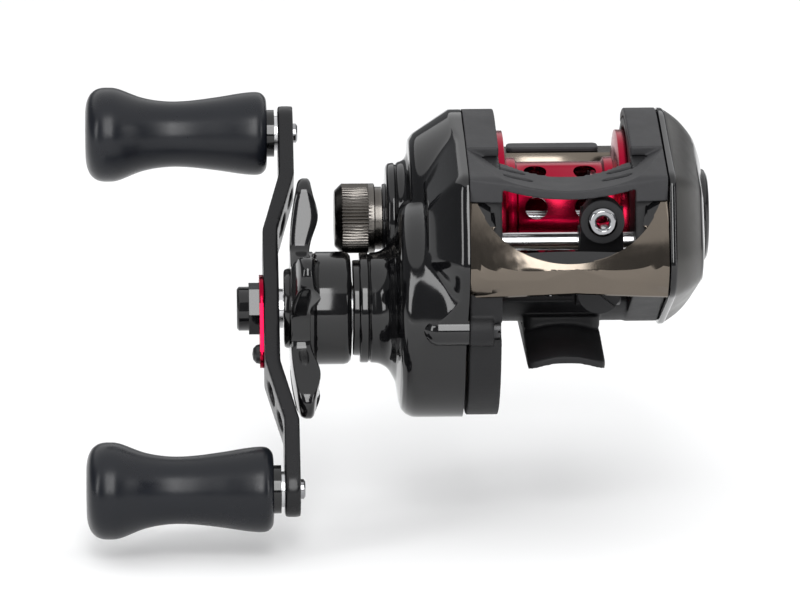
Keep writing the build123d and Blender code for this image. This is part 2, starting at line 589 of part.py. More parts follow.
ARM_END_R, ARM_MIDDLE_R = 5.3, 6.0
TIP_OUT, TIP_IN = ARM_OUT + ARM_STEP, ARM_IN + ARM_STEP
POST_R = 2.0
KEEPER_REACH = -10.2
with BuildPart() as handle_arm:
    a = radians(HANDLE_LEAN)
    far = HANDLE_REACH + ARM_END_R
    with BuildSketch(Plane(origin=(0, *DRIVE), x_dir=(1, 0, 0), z_dir=(0, cos(a), -sin(a)))):
        with BuildLine():
            Polyline(
                (TIP_OUT, -far), (TIP_OUT, -BEND_TO), (ARM_OUT, -BEND_FROM), (ARM_OUT, BEND_FROM),
                (TIP_OUT, BEND_TO), (TIP_OUT, far), (TIP_IN, far), (TIP_IN, BEND_TO), (ARM_IN, BEND_FROM),
                (ARM_IN, -BEND_FROM), (TIP_IN, -BEND_TO), (TIP_IN, -far), close=True,
            )
        make_face()
    extrude(amount=8, both=True)
    with BuildSketch(arm_plane(-60)):
        with BuildLine():
            CenterArc((0, 0), ARM_MIDDLE_R, 0, 360)
            for side in (-1, 1):
                CenterArc((0, side * HANDLE_REACH), ARM_END_R, 0, 360)
        make_hull()
    extrude(amount=12, mode=Mode.INTERSECT)
    with BuildSketch(arm_plane(-60)):
        Circle(HEX_BORE)
        for side in (-1, 1):
            with Locations((0, side * HANDLE_REACH)):
                Circle(POST_R + SNUG)
            with Locations((0, side * 19)):
                Circle(2.3)
            with Locations((0, side * 25)):
                Circle(1.9)
    extrude(amount=12, mode=Mode.SUBTRACT)
    ring((arm_plane(0, KEEPER_REACH).origin.Y, arm_plane(0, KEEPER_REACH).origin.Z), ARM_OUT,
         ARM_OUT + 2.2, 0.8,
         mode=Mode.SUBTRACT)
finish(handle_arm, "handle_arm")

NUT_HEX = 9.0
with BuildPart() as handle_nut:
    hexagon(DRIVE, -60.3, ARM_OUT, NUT_HEX)
    turned(DRIVE, [(-60.3, 0), (-60.3, 4.25), (-62.2, 4.25), (-62.6, 3.8), (-62.6, 0)])
    ring(DRIVE, -61.2, ARM_OUT, 2.0 + SNUG, mode=Mode.SUBTRACT)
finish(handle_nut, "handle_nut")

KEEPER_THICK = 0.8
with BuildPart() as nut_keeper:
    with BuildSketch(arm_plane(ARM_OUT - KEEPER_THICK)):
        with BuildLine():
            CenterArc((0, 0), 6.5, 0, 360)
            CenterArc((0, KEEPER_REACH), 2.7, 0, 360)
        make_hull()
        with Locations((0, KEEPER_REACH)):
            Circle(0.8, mode=Mode.SUBTRACT)
    extrude(amount=KEEPER_THICK)
    hexagon(DRIVE, ARM_OUT - KEEPER_THICK, ARM_OUT, NUT_HEX + 0.1, mode=Mode.SUBTRACT)
finish(nut_keeper, "nut_keeper")

with BuildPart() as keeper_screw:
    keeper_place = (arm_plane(0, KEEPER_REACH).origin.Y, arm_plane(0, KEEPER_REACH).origin.Z)
    head = ARM_OUT - KEEPER_THICK
    turned(keeper_place, [(head, 0), (head, 1.9), (head - 0.7, 1.75), (head - 1.3, 1.1), (head - 1.5, 0)])
    ring(keeper_place, head, ARM_OUT + 2.1, 0.78)
finish(keeper_screw, "keeper_screw")

GRIP_BORE_R = 2.3
with BuildPart() as knob_posts:
    for side in (-1, 1):
        ring(knob_place(side), -88.0, TIP_IN, POST_R)
        ring(knob_place(side), -54.7, TIP_OUT, 3.4)
        ring(knob_place(side), TIP_IN - 5, TIP_IN, 0.9, mode=Mode.SUBTRACT)
finish(knob_posts, "knob_posts")

with BuildPart() as knob_post_screws:
    for side in (-1, 1):
        turned(knob_place(side), [(TIP_IN - 4.6, 0), (TIP_IN - 4.6, 0.85), (TIP_IN, 0.85), (TIP_IN, 1.9),
                                  (TIP_IN + 0.6, 1.9), (TIP_IN + 0.9, 1.5), (TIP_IN + 0.9, 0)])
finish(knob_post_screws, "knob_post_screws")

# the knob's corners as (x, radius), from its outer end to the arm
GRIP_CORNERS = [(GRIP_OUT, 5.6), (-90.9, 7.6), (-89.4, 8.9), (-87.2, 9.2), (-85.0, 8.9), (-80.5, 7.1),
                (-76.0, 6.4), (-71.5, 6.5), (-66.0, 7.2), (-60.5, 8.0), (-58.0, 8.1), (-56.8, 7.5), (GRIP_IN, 6.2)]
COLLAR_IN, COLLAR_OUT, COLLAR_R = -54.75, GRIP_IN, 4.6
for side, name in ((1, "upper_knob"), (-1, "lower_knob")):
    with BuildPart() as knob:
        turned(knob_place(side), [(GRIP_OUT, 0), *GRIP_CORNERS, (GRIP_IN, 0)])
        ring(knob_place(side), -60.1, GRIP_IN, 3.0 + SNUG, mode=Mode.SUBTRACT)
        ring(knob_place(side), -88.4, GRIP_IN, GRIP_BORE_R, mode=Mode.SUBTRACT)
    finish(knob, name)
    with BuildPart() as collar:
        ring(knob_place(side), COLLAR_OUT, COLLAR_IN, COLLAR_R)
        ring(knob_place(side), -60.0, COLLAR_OUT, 3.0)
        ring(knob_place(side), -60.0, COLLAR_IN, POST_R + FIT, mode=Mode.SUBTRACT)
    finish(collar, f"{name}_bush")

# ---------------------------------------------------------------- spool
with BuildPart() as spool:
    half = [(2.2, 0), (2.2, 2.6), (1.2, 2.6), (1.2, 9.7), (12.0, 9.7), (12.0, 15.4), (FLANGE_OUT, 15.8),
            (FLANGE_OUT, FLANGE_R), (11.0, FLANGE_R), (10.6, 13.6), (10.2, 11.6), (8.6, 11.5), (8.2, 10.7)]
    left_half = [(-x, r) for x, r in reversed(half)]
    turned(SPOOL, half + left_half)
    ring(SPOOL, -4, 4, SHAFT_R + SNUG, mode=Mode.SUBTRACT)
    for x in (-4.8, 4.8):
        for k in range(8):
            a = 2 * pi * (k + 0.5) / 8
            with BuildSketch(Plane(origin=(x, *SPOOL), z_dir=(0, cos(a), sin(a)))):
                Circle(2.2)
            extrude(amount=14, mode=Mode.SUBTRACT)
finish(spool, "spool")

PIN_X, PIN_R, PIN_HALF = -18.25, 0.45, 2.7
with BuildPart() as spool_shaft:
    turned(SPOOL, [(-37.5, 0), (-37.2, SHAFT_R), (18.4, SHAFT_R), (18.7, 0)])
    with BuildSketch(Plane.XY.offset(SPOOL_HEIGHT - 4)):
        with Locations((PIN_X, 0)):
            Circle(PIN_R + SNUG)
    extrude(amount=8, mode=Mode.SUBTRACT)
finish(spool_shaft, "spool_shaft")

with BuildPart() as shaft_cross_pin:
    with BuildSketch(Plane.XY.offset(SPOOL_HEIGHT - PIN_HALF)):
        with Locations((PIN_X, 0)):
            Circle(PIN_R)
    extrude(amount=2 * PIN_HALF)
finish(shaft_cross_pin, "shaft_cross_pin")

with BuildPart() as brake_rotor:
    ring(SPOOL, 6.0, 13.0, 9.65, 8.8)
finish(brake_rotor, "brake_rotor")

# ---------------------------------------------------------------- pinion and clutch
TEETH_OUT, TEETH_IN = -26.3, -21.4
GROOVE_OUT, GROOVE_IN, GROOVE_R = -21.0, -19.9, 1.8
FLANGE_END = -17.75
with BuildPart() as pinion:
    spur_gear(SPOOL, TEETH_OUT, TEETH_IN, PINION_TEETH, GEAR_MODULE, 0.4,
              180 + DRIVE_ANGLE + 180 / PINION_TEETH,
              SHAFT_R + FIT)
    ring(SPOOL, -28.5, TEETH_OUT, JOURNAL_R, SHAFT_R + FIT)
    turned(SPOOL, [(TEETH_IN, SHAFT_R + FIT), (TEETH_IN, 2.9), (GROOVE_OUT, 2.9), (GROOVE_OUT, GROOVE_R),
                   (GROOVE_IN, GROOVE_R), (GROOVE_IN, 3.0), (FLANGE_END, 3.0), (FLANGE_END, SHAFT_R + FIT)])
    with BuildSketch(across(SPOOL, PIN_X - PIN_R - 0.1)):
        Rectangle(1.1, 8)
    extrude(amount=2, mode=Mode.SUBTRACT)
finish(pinion, "pinion")

YOKE_OUT, YOKE_IN = -20.93, -19.97
EAR_R = 2.1
yoke_turn = 90 + DRIVE_ANGLE  # the line through the two posts
with BuildPart() as pinion_yoke:
    with BuildSketch(across(SPOOL, YOKE_OUT, yoke_turn - 180)):
        with BuildLine():
            for side in (-1, 1):
                CenterArc((side * POST_REACH, 0), EAR_R, 0, 360)
        make_hull()
        Circle(4.2)
        with Locations((-POST_REACH, 0), (POST_REACH, 0)):
            Circle(BOLT_R + FIT, mode=Mode.SUBTRACT)
        Circle(GROOVE_R + 0.1, mode=Mode.SUBTRACT)
        # open on the side away from the drive gear, so that it goes over the pinion
        with Locations((0, -3)):
            Rectangle(2 * (GROOVE_R + 0.1), 6, mode=Mode.SUBTRACT)
    extrude(amount=YOKE_IN - YOKE_OUT)
finish(pinion_yoke, "pinion_yoke")

CAM_OUT, CAM_IN, CAM_R = -19.75, -18.9, 11.4
with BuildPart() as clutch_cam:
    with BuildSketch(across(SPOOL, CAM_OUT)):
        Circle(CAM_R)
        Circle(CAM_BOSS_R + FIT, mode=Mode.SUBTRACT)
    extrude(amount=CAM_IN - CAM_OUT)
    # forked arm out to the pin of the thumb bar
    with BuildSketch(across(SPOOL, CAM_OUT, CAM_SWING / 2)):
        with Locations((14.4, 0)):
            RectangleRounded(9.2, 5.0, 1.0)
        with Locations((18.4, 0)):
            SlotOverall(4.4, 2 * THUMB_PIN_R + 0.3, mode=Mode.SUBTRACT)
    extrude(amount=CAM_IN - CAM_OUT)
    # slots that let the two yoke posts through while it turns
    for turn in (yoke_turn, yoke_turn + 180):
        with BuildSketch(across(SPOOL, CAM_OUT, turn + CAM_SWING / 2)):
            with Locations((POST_REACH, 0)):
                SlotCenterToCenter(POST_REACH * radians(CAM_SWING) + 0.4, 2 * BOLT_R + 0.6, rotation=90)
        extrude(amount=2, mode=Mode.SUBTRACT)
finish(clutch_cam, "clutch_cam")

BAR_HALF = 12.3
BAR_FRONT, BAR_BACK, BAR_TOP = 17.2, 19.4, 30.2
with BuildPart() as thumb_bar:
    with BuildSketch(Plane.YZ.offset(-BAR_HALF)):
        with BuildLine():
            Polyline((BAR_FRONT, 21.6), (BAR_BACK, 21.6), (BAR_BACK, 26.0), (24.4, BAR_TOP - 1.2),
                     (24.4, BAR_TOP),
                     (18.4, BAR_TOP), (BAR_FRONT, 28.0), close=True)
        make_face()
    extrude(amount=2 * BAR_HALF)
    # pins that slide in the frame's slots; the left one goes on to the clutch cam
    ring(THUMB_PIN, CAM_OUT + 0.1, -BAR_HALF + 1.5, THUMB_PIN_R)
    ring(THUMB_PIN, BAR_HALF - 1.5, 15.0, THUMB_PIN_R)
finish(thumb_bar, "thumb_bar")

PAD_THICK = 0.9
with BuildPart() as thumb_bar_pad:
    with BuildSketch(Plane.XY.offset(BAR_TOP)):
        with Locations((0, 21.5)):
            RectangleRounded(18.0, 4.4, 1.2)
    extrude(amount=PAD_THICK)
    fillet(thumb_bar_pad.faces().sort_by(Axis.Z)[-1].edges(), 0.4)
finish(thumb_bar_pad, "thumb_bar_pad")

# ---------------------------------------------------------------- level wind
with BuildPart() as worm_shaft:
    turned(WORM, [(COG_OUT, 0), (COG_OUT, WORM_JOURNAL_R), (-12.4, WORM_JOURNAL_R), (-12.4, WORM_R),
                  (12.4, WORM_R), (12.4, WORM_JOURNAL_R), (18.6, WORM_JOURNAL_R), (18.6, 0)])
    for k in range(7):
        x = -9.0 + 3.0 * k
        turned(WORM, [(x - 0.6, WORM_R + 0.2), (x - 0.3, WORM_R - 0.6), (x + 0.3, WORM_R - 0.6),
                      (x + 0.6, WORM_R + 0.2)], mode=Mode.SUBTRACT)
finish(worm_shaft, "worm_shaft")

with BuildPart() as worm_cog:
    spur_gear(WORM, COG_OUT, COG_IN, WORM_COG_TEETH, COG_MODULE, 0.2, -WORM_ANGLE + 180 / WORM_COG_TEETH,
              WORM_JOURNAL_R + SNUG)
finish(worm_cog, "worm_cog")

CARRIAGE_HALF = 4.2
EYE_R, EYE_RING_R, EYE_FRONT, EYE_BACK = 1.25, 2.8, -34.6, -29.0
PAWL_R, CAP_FRONT = 4.2, -26.2
WORM_FIT = 0.15
with BuildPart() as line_guide_carriage:
    start, end = GUIDE_REST - CARRIAGE_HALF, GUIDE_REST + CARRIAGE_HALF
    slab(start, end, [(*WORM, 4.0), (WORM[0] - 2.6, WORM[1] + 0.6, 3.6)])
    slab(start, end, [(WORM[0] - 2.8, WORM[1] + 1.4, 3.0), (*GUIDE_BAR, 3.0)])
    slab(start + 0.2, end - 0.2, [(*GUIDE_BAR, 3.0), (-30.4, 28.6, 2.2)])
    # round head that holds the line guide's ring, facing forward
    with BuildSketch(Plane.XZ.offset(-EYE_BACK)):
        with Locations((GUIDE_REST, EYE_HEIGHT)):
            Circle(4.15)
    extrude(amount=EYE_BACK - EYE_FRONT - 1.0)
    # round housing of the pawl, facing forward
    with BuildSketch(Plane.XZ.offset(-WORM[0] + 1)):
        with Locations((GUIDE_REST, WORM[1])):
            Circle(PAWL_R)
    extrude(amount=-CAP_FRONT + WORM[0] - 1 - 1.0)
    with BuildSketch(Plane.XZ.offset(-CAP_FRONT - 1.0)):
        with Locations((GUIDE_REST, WORM[1])):
            Circle(PAWL_R + 0.1)
    extrude(amount=4, mode=Mode.SUBTRACT)
    # bores for the worm, the guide bar, the pawl and the line guide's ring
    ring(WORM, start, end, WORM_R + WORM_FIT, mode=Mode.SUBTRACT)
    ring(GUIDE_BAR, start, end, 1.7 + FIT, mode=Mode.SUBTRACT)
    with BuildSketch(Plane.XZ.offset(-WORM[0])):
        with Locations((GUIDE_REST, WORM[1])):
            Circle(1.6 + SNUG)
    extrude(amount=10, mode=Mode.SUBTRACT)
    with BuildSketch(Plane.XZ.offset(24)):
        with Locations((GUIDE_REST, EYE_HEIGHT)):
            Circle(EYE_RING_R - 0.6 + SNUG)
    extrude(amount=12, mode=Mode.SUBTRACT)
    with BuildSketch(Plane.XZ.offset(-EYE_FRONT - 2.2)):
        with Locations((GUIDE_REST, EYE_HEIGHT)):
            Circle(EYE_RING_R + SNUG)
    extrude(amount=4, mode=Mode.SUBTRACT)
finish(line_guide_carriage, "line_guide_carriage")


def forward(x, z, y=0.0):
    """Plane facing forward (-Y) at a place on the front: its z_dir is -Y and its y is +Z."""
    return Plane(origin=(x, y, z), x_dir=(1, 0, 0), z_dir=(0, -1, 0))


with BuildPart() as line_guide_ring:
    # turned about the Y direction: corners are (radius, distance forward)
    with BuildSketch(Plane(origin=(GUIDE_REST, 0, EYE_HEIGHT), x_dir=(1, 0, 0), z_dir=(0, 0, 1))):
        with BuildLine():
            Polyline((EYE_R + 0.35, EYE_FRONT), (EYE_R, EYE_FRONT + 0.35), (EYE_R, EYE_BACK - 0.35),
                     (EYE_R + 0.35, EYE_BACK), (EYE_RING_R - 0.6, EYE_BACK),
                     (EYE_RING_R - 0.6, EYE_FRONT + 2.2),
                     (EYE_RING_R, EYE_FRONT + 2.2), (EYE_RING_R, EYE_FRONT + 0.5),
                     (EYE_RING_R - 0.5, EYE_FRONT),
                     close=True)
        make_face()
    revolve(axis=Axis((GUIDE_REST, 0, EYE_HEIGHT), (0, 1, 0)))
finish(line_guide_ring, "line_guide_ring")

PAWL_TIP = WORM[0] - WORM_R - 0.1
with BuildPart() as pawl:
    with BuildSketch(forward(GUIDE_REST, WORM[1], PAWL_TIP)):
        Circle(1.6)
    extrude(amount=PAWL_TIP - CAP_FRONT - 1.05)
    chamfer(pawl.faces().sort_by(Axis.Y)[-1].edges(), 0.4)
finish(pawl, "pawl")

with BuildPart() as pawl_cap:
    with BuildSketch(forward(GUIDE_REST, WORM[1], CAP_FRONT + 0.98)):
        Circle(PAWL_R)
    extrude(amount=0.98)
    with BuildSketch(forward(GUIDE_REST, WORM[1], CAP_FRONT + 0.5)):
        Rectangle(2 * PAWL_R + 1, 0.9, rotation=-38)
    extrude(amount=1, mode=Mode.SUBTRACT)
finish(pawl_cap, "pawl_cap")

CLIP_HEIGHT = 19.6
with BuildPart() as guide_clip:
    with BuildSketch(forward(GUIDE_REST, CLIP_HEIGHT, -29.7)):
        SlotOverall(5.4, 2.9)
        SlotOverall(4.0, 1.5, mode=Mode.SUBTRACT)
    extrude(amount=0.8)
finish(guide_clip, "guide_clip")

# ---------------------------------------------------------------- cast control and brake
CAP_OUT, CAP_IN, CAP_R = -43.5, -35.7, 6.75
KNURLS = 48
with BuildPart() as cast_control_knob:
    turned(SPOOL, [(CAP_OUT, 0), (CAP_OUT, 5.4), (CAP_OUT + 0.5, 5.8), (CAP_OUT + 1.2, CAP_R),
                   (CAP_IN, CAP_R),
                   (CAP_IN, 6.1), (-34.4, 6.1), (-34.4, 0)])
    ring(SPOOL, -38.4, -34.4, SPIGOT_R + FIT, mode=Mode.SUBTRACT)
    with BuildSketch(across(SPOOL, CAP_OUT + 1.4)):
        with PolarLocations(CAP_R + 0.1, KNURLS):
            Rectangle(0.7, 0.35)
    extrude(amount=5.2, mode=Mode.SUBTRACT)
finish(cast_control_knob, "cast_control_knob")

with BuildPart() as cast_control_o_ring:
    with BuildSketch(Plane(origin=(0, *SPOOL), x_dir=(1, 0, 0), z_dir=(0, -1, 0))):
        with Locations((-35.6, SPIGOT_R - 0.25)):
            Circle(0.24)
    revolve(axis=Axis((0, *SPOOL), (1, 0, 0)))
finish(cast_control_o_ring, "cast_control_o_ring")

CAM_DISC = (22.9, 23.8)
with BuildPart() as brake_dial:
    turned(SPOOL, [(PALM_FACE - 0.9, 0), (PALM_FACE - 0.9, DIAL_R), (DIAL_OUT - 0.6, DIAL_R),
                   (DIAL_OUT, DIAL_R - 0.9),
                   (DIAL_OUT, 0)])
    ring(SPOOL, CAM_DISC[1], PALM_FACE, DIAL_STEM_R)
    ring(SPOOL, CAM_DISC[0], CAM_DISC[1], 8.6)
    with BuildSketch(Plane(origin=(DIAL_OUT - 0.5, *SPOOL), x_dir=(0, 1, 0), z_dir=(1, 0, 0))):
        SlotOverall(15, 2.0)
    extrude(amount=1, mode=Mode.SUBTRACT)
finish(brake_dial, "brake_dial")

HOLDER_IN, HOLDER_OUT = 12.3, 18.3
with BuildPart() as magnet_holder:
    turned(SPOOL, [(HOLDER_IN, BOSS_R + FIT), (HOLDER_IN, 7.2), (16.0, 7.2), (16.0, 8.3), (HOLDER_OUT, 8.3),
                   (HOLDER_OUT, BOSS_R + FIT)])
    with BuildSketch(across(SPOOL, HOLDER_OUT)):
        with PolarLocations(PRONG_REACH, 3):
            Circle(PRONG_R)
    extrude(amount=CAM_DISC[0] - 0.1 - HOLDER_OUT)
finish(magnet_holder, "magnet_holder")

with BuildPart() as brake_magnets:
    for k in range(8):
        with BuildSketch(across(SPOOL, HOLDER_IN + 0.1, 45 * k)):
            with Locations((7.85, 0)):
                Rectangle(0.8, 3.2)
        extrude(amount=3.5)
finish(brake_magnets, "brake_magnets")
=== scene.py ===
import json
import math
import bmesh
import bpy
import numpy as np
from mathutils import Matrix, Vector


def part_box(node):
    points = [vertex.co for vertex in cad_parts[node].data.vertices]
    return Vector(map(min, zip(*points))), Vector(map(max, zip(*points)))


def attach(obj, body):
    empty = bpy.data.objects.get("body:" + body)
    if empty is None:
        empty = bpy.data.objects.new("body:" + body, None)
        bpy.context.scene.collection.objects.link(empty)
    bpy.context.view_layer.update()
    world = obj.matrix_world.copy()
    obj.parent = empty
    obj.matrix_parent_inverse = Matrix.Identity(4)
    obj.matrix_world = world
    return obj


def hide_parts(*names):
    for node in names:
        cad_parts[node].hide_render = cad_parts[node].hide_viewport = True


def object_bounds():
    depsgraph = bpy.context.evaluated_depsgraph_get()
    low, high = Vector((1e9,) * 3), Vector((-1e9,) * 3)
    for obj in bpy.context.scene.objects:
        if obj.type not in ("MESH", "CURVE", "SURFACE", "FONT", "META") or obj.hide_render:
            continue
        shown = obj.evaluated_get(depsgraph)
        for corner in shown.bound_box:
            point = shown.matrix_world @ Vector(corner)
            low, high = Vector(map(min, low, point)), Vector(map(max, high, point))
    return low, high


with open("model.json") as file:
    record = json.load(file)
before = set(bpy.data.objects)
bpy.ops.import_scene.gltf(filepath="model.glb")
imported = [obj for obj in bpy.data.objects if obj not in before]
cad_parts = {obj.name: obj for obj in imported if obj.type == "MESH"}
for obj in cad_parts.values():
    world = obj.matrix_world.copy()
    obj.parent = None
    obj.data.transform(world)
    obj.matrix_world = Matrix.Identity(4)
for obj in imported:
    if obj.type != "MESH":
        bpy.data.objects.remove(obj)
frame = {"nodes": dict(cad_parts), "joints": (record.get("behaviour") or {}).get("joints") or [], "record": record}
CAD_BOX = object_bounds()
MM = 0.001

# The reel stands on its foot: +Z up, -Y towards the rod tip, -X towards the handle. Lengths below are in
# millimetres unless a name says otherwise, and are turned into metres when a mesh is made.


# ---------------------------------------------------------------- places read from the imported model
def box_mm(node):
    low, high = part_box(node)
    return low / MM, high / MM


def axle(joint_name):
    """(y, z) of a joint's axis, in millimetres."""
    found = next(j for j in frame["joints"] if j["name"] == joint_name)
    return found["pos_m"][1] / MM, found["pos_m"][2] / MM


SPOOL = axle("spool_spin")
DRIVE = axle("handle_turn")
WORM = axle("worm_spin")
UPPER = axle("upper_knob_spin")
LOWER = axle("lower_knob_spin")


# ---------------------------------------------------------------- materials
NOISE_LOW, NOISE_HIGH = 0.3, 0.7  # the range that noise values mostly keep to
EDGE_STARTS, EDGE_FULL = 0.52, 0.62  # pointiness at which an edge starts to wear, and where it is worn fully


def shade(name, colour, rough, metal=0.0, spread=0.12, patch=60.0, grain=0.0, grain_size=0.4,
          rough_spread=0.06, wear=0.0, wear_colour=(0.5, 0.5, 0.5), brushed=None, specular=0.5):
    """A procedural material.

    spread is how far the colour varies either way and patch how many patches of it fit in a metre. grain is
    the depth of fine bumps in millimetres and grain_size their size. wear lightens convex edges towards
    wear_colour, and brushed stretches the grain along an axis.
    """
    material = bpy.data.materials.new(name)
    material.use_nodes = True
    nodes, links = material.node_tree.nodes, material.node_tree.links
    shader = nodes["Principled BSDF"]
    shader.inputs["Metallic"].default_value = metal
    shader.inputs["Specular IOR Level"].default_value = specular
    place = nodes.new("ShaderNodeTexCoord")
    broad = nodes.new("ShaderNodeTexNoise")
    broad.inputs["Scale"].default_value = patch
    broad.inputs["Detail"].default_value = 5.0
    links.new(place.outputs["Object"], broad.inputs["Vector"])
    ramp = nodes.new("ShaderNodeValToRGB")
    ramp.color_ramp.elements[0].position = NOISE_LOW
    ramp.color_ramp.elements[1].position = NOISE_HIGH
    ramp.color_ramp.elements[0].color = (*[c * (1 - spread) for c in colour], 1)
    ramp.color_ramp.elements[1].color = (*[min(1.0, c * (1 + spread)) for c in colour], 1)
    links.new(broad.outputs["Fac"], ramp.inputs["Fac"])
    colour_out = ramp.outputs["Color"]

    fine = nodes.new("ShaderNodeTexNoise")
    fine.inputs["Scale"].default_value = 1000.0 / grain_size
    fine.inputs["Detail"].default_value = 3.0
    stretch = nodes.new("ShaderNodeMapping")
    if brushed is not None:
        stretch.inputs["Scale"].default_value = brushed
    links.new(place.outputs["Object"], stretch.inputs["Vector"])
    links.new(stretch.outputs["Vector"], fine.inputs["Vector"])

    smudge = nodes.new("ShaderNodeTexNoise")
    smudge.inputs["Scale"].default_value = patch * 2.3
    smudge.inputs["Detail"].default_value = 6.0
    smudge.inputs["Roughness"].default_value = 0.7
    links.new(place.outputs["Object"], smudge.inputs["Vector"])
    level = nodes.new("ShaderNodeMapRange")
    level.inputs["From Min"].default_value = NOISE_LOW
    level.inputs["From Max"].default_value = NOISE_HIGH
    level.inputs["To Min"].default_value = max(0.02, rough - rough_spread)
    level.inputs["To Max"].default_value = min(1.0, rough + rough_spread)
    links.new(smudge.outputs["Fac"], level.inputs["Value"])
    links.new(level.outputs["Result"], shader.inputs["Roughness"])

    if wear > 0:
        geometry = nodes.new("ShaderNodeNewGeometry")
        edge = nodes.new("ShaderNodeMapRange")
        edge.inputs["From Min"].default_value = EDGE_STARTS
        edge.inputs["From Max"].default_value = EDGE_FULL
        edge.inputs["To Max"].default_value = wear
        links.new(geometry.outputs["Pointiness"], edge.inputs["Value"])
        broken = nodes.new("ShaderNodeMath")
        broken.operation = "MULTIPLY"
        links.new(edge.outputs["Result"], broken.inputs[0])
        links.new(smudge.outputs["Fac"], broken.inputs[1])
        mix = nodes.new("ShaderNodeMix")
        mix.data_type = "RGBA"
        mix.inputs["B"].default_value = (*wear_colour, 1)
        links.new(broken.outputs[0], mix.inputs["Factor"])
        links.new(colour_out, mix.inputs["A"])
        colour_out = mix.outputs["Result"]
    links.new(colour_out, shader.inputs["Base Color"])
    if grain > 0:
        bump = nodes.new("ShaderNodeBump")
        bump.inputs["Strength"].default_value = 1.0
        bump.inputs["Distance"].default_value = grain * MM
        links.new(fine.outputs["Fac"], bump.inputs["Height"])
        links.new(bump.outputs["Normal"], shader.inputs["Normal"])
    return material


LOOKS = {
    "matte_black": shade("matte_black", (0.010, 0.010, 0.011), 0.50, grain=0.012, grain_size=0.25, wear=0.06,
                         wear_colour=(0.07, 0.07, 0.07), specular=0.25),
    "gloss_black": shade("gloss_black", (0.0035, 0.0035, 0.004), 0.08, rough_spread=0.03, grain=0.0015,
                         grain_size=1.5),
    "satin_black": shade("satin_black", (0.006, 0.006, 0.007), 0.28, rough_spread=0.05, grain=0.004,
                         grain_size=0.3, specular=0.3),
    "soft_grey": shade("soft_grey", (0.024, 0.024, 0.026), 0.56, grain=0.014, grain_size=0.22, spread=0.08,
                       specular=0.35),
    "satin_grey": shade("satin_grey", (0.052, 0.050, 0.047), 0.34, metal=0.55, rough_spread=0.06, grain=0.006,
                        grain_size=0.2),
    "smoked_chrome": shade("smoked_chrome", (0.150, 0.128, 0.106), 0.13, metal=1.0, rough_spread=0.04,
                           spread=0.05, grain=0.0015, grain_size=1.5),
    "bright_chrome": shade("bright_chrome", (0.30, 0.30, 0.31), 0.10, metal=1.0, rough_spread=0.04,
                           spread=0.04, grain=0.001, grain_size=0.5),
    "steel": shade("steel", (0.55, 0.55, 0.56), 0.22, metal=1.0, rough_spread=0.06, grain=0.002,
                   grain_size=0.12, brushed=(0.05, 1.0, 1.0), spread=0.06),
    "blackened_steel": shade("blackened_steel", (0.022, 0.022, 0.024), 0.33, metal=0.6, grain=0.004,
                             grain_size=0.2, wear=0.3, wear_colour=(0.2, 0.2, 0.2)),
    "gunmetal": shade("gunmetal", (0.105, 0.098, 0.090), 0.24, metal=1.0, grain=0.003, grain_size=0.2,
                      wear=0.5, wear_colour=(0.30, 0.28, 0.26)),
    "aluminium": shade("aluminium", (0.66, 0.66, 0.68), 0.32, metal=1.0, grain=0.004, grain_size=0.12,
                       brushed=(0.05, 1.0, 1.0)),
    "red_anodised": shade("red_anodised", (0.30, 0.0025, 0.022), 0.24, metal=1.0, rough_spread=0.05,
                          spread=0.10, grain=0.003, grain_size=0.12, brushed=(1.0, 0.08, 0.08), wear=0.10,
                          wear_colour=(0.6, 0.10, 0.16)),
    "brass": shade("brass", (0.70, 0.50, 0.24), 0.28, metal=1.0, grain=0.003, grain_size=0.15),
    "nylon": shade("nylon", (0.60, 0.58, 0.53), 0.45, grain=0.006, grain_size=0.3),
    "carbon": shade("carbon", (0.03, 0.03, 0.032), 0.4, grain=0.03, grain_size=0.6),
    "black_rubber": shade("black_rubber", (0.012, 0.012, 0.012), 0.65, grain=0.01, grain_size=0.2),
    "knob_charcoal": shade("knob_charcoal", (0.0045, 0.0055, 0.0085), 0.30, rough_spread=0.05, grain=0.010,
                           grain_size=0.35, specular=0.32, spread=0.10),
}
slot_of_node = {s["node"]: s["material_slot"] for s in frame["record"]["subparts"]}
for node_name, node in frame["nodes"].items():
    node.data.materials.clear()
    node.data.materials.append(LOOKS[slot_of_node[node_name]])


# ---------------------------------------------------------------- mesh tools
def polish(mesh, angle=32.0):
    """Smooth shading, with edges sharper than the angle kept sharp."""
    made = bmesh.new()
    made.from_mesh(mesh)
    bmesh.ops.remove_doubles(made, verts=made.verts, dist=1e-7)
    bmesh.ops.recalc_face_normals(made, faces=made.faces)
    limit = math.radians(angle)
    for face in made.faces:
        face.smooth = True
    for edge in made.edges:
        edge.smooth = len(edge.link_faces) == 2 and edge.calc_face_angle(0.0) < limit
    made.to_mesh(mesh)
    made.free()


def piece(name, points, faces, look, body, replaced=(), angle=32.0):
    """A mesh piece from points in millimetres, riding on a CAD body, with the look of that material slot."""
    mesh = bpy.data.meshes.new(name)
    mesh.from_pydata([tuple(c * MM for c in p) for p in points], [], faces)
    polish(mesh, angle)
    made = bpy.data.objects.new(name, mesh)
    bpy.context.scene.collection.objects.link(made)
    mesh.materials.append(LOOKS[look])
    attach(made, body)
    if replaced:
        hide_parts(*replaced)
    return made


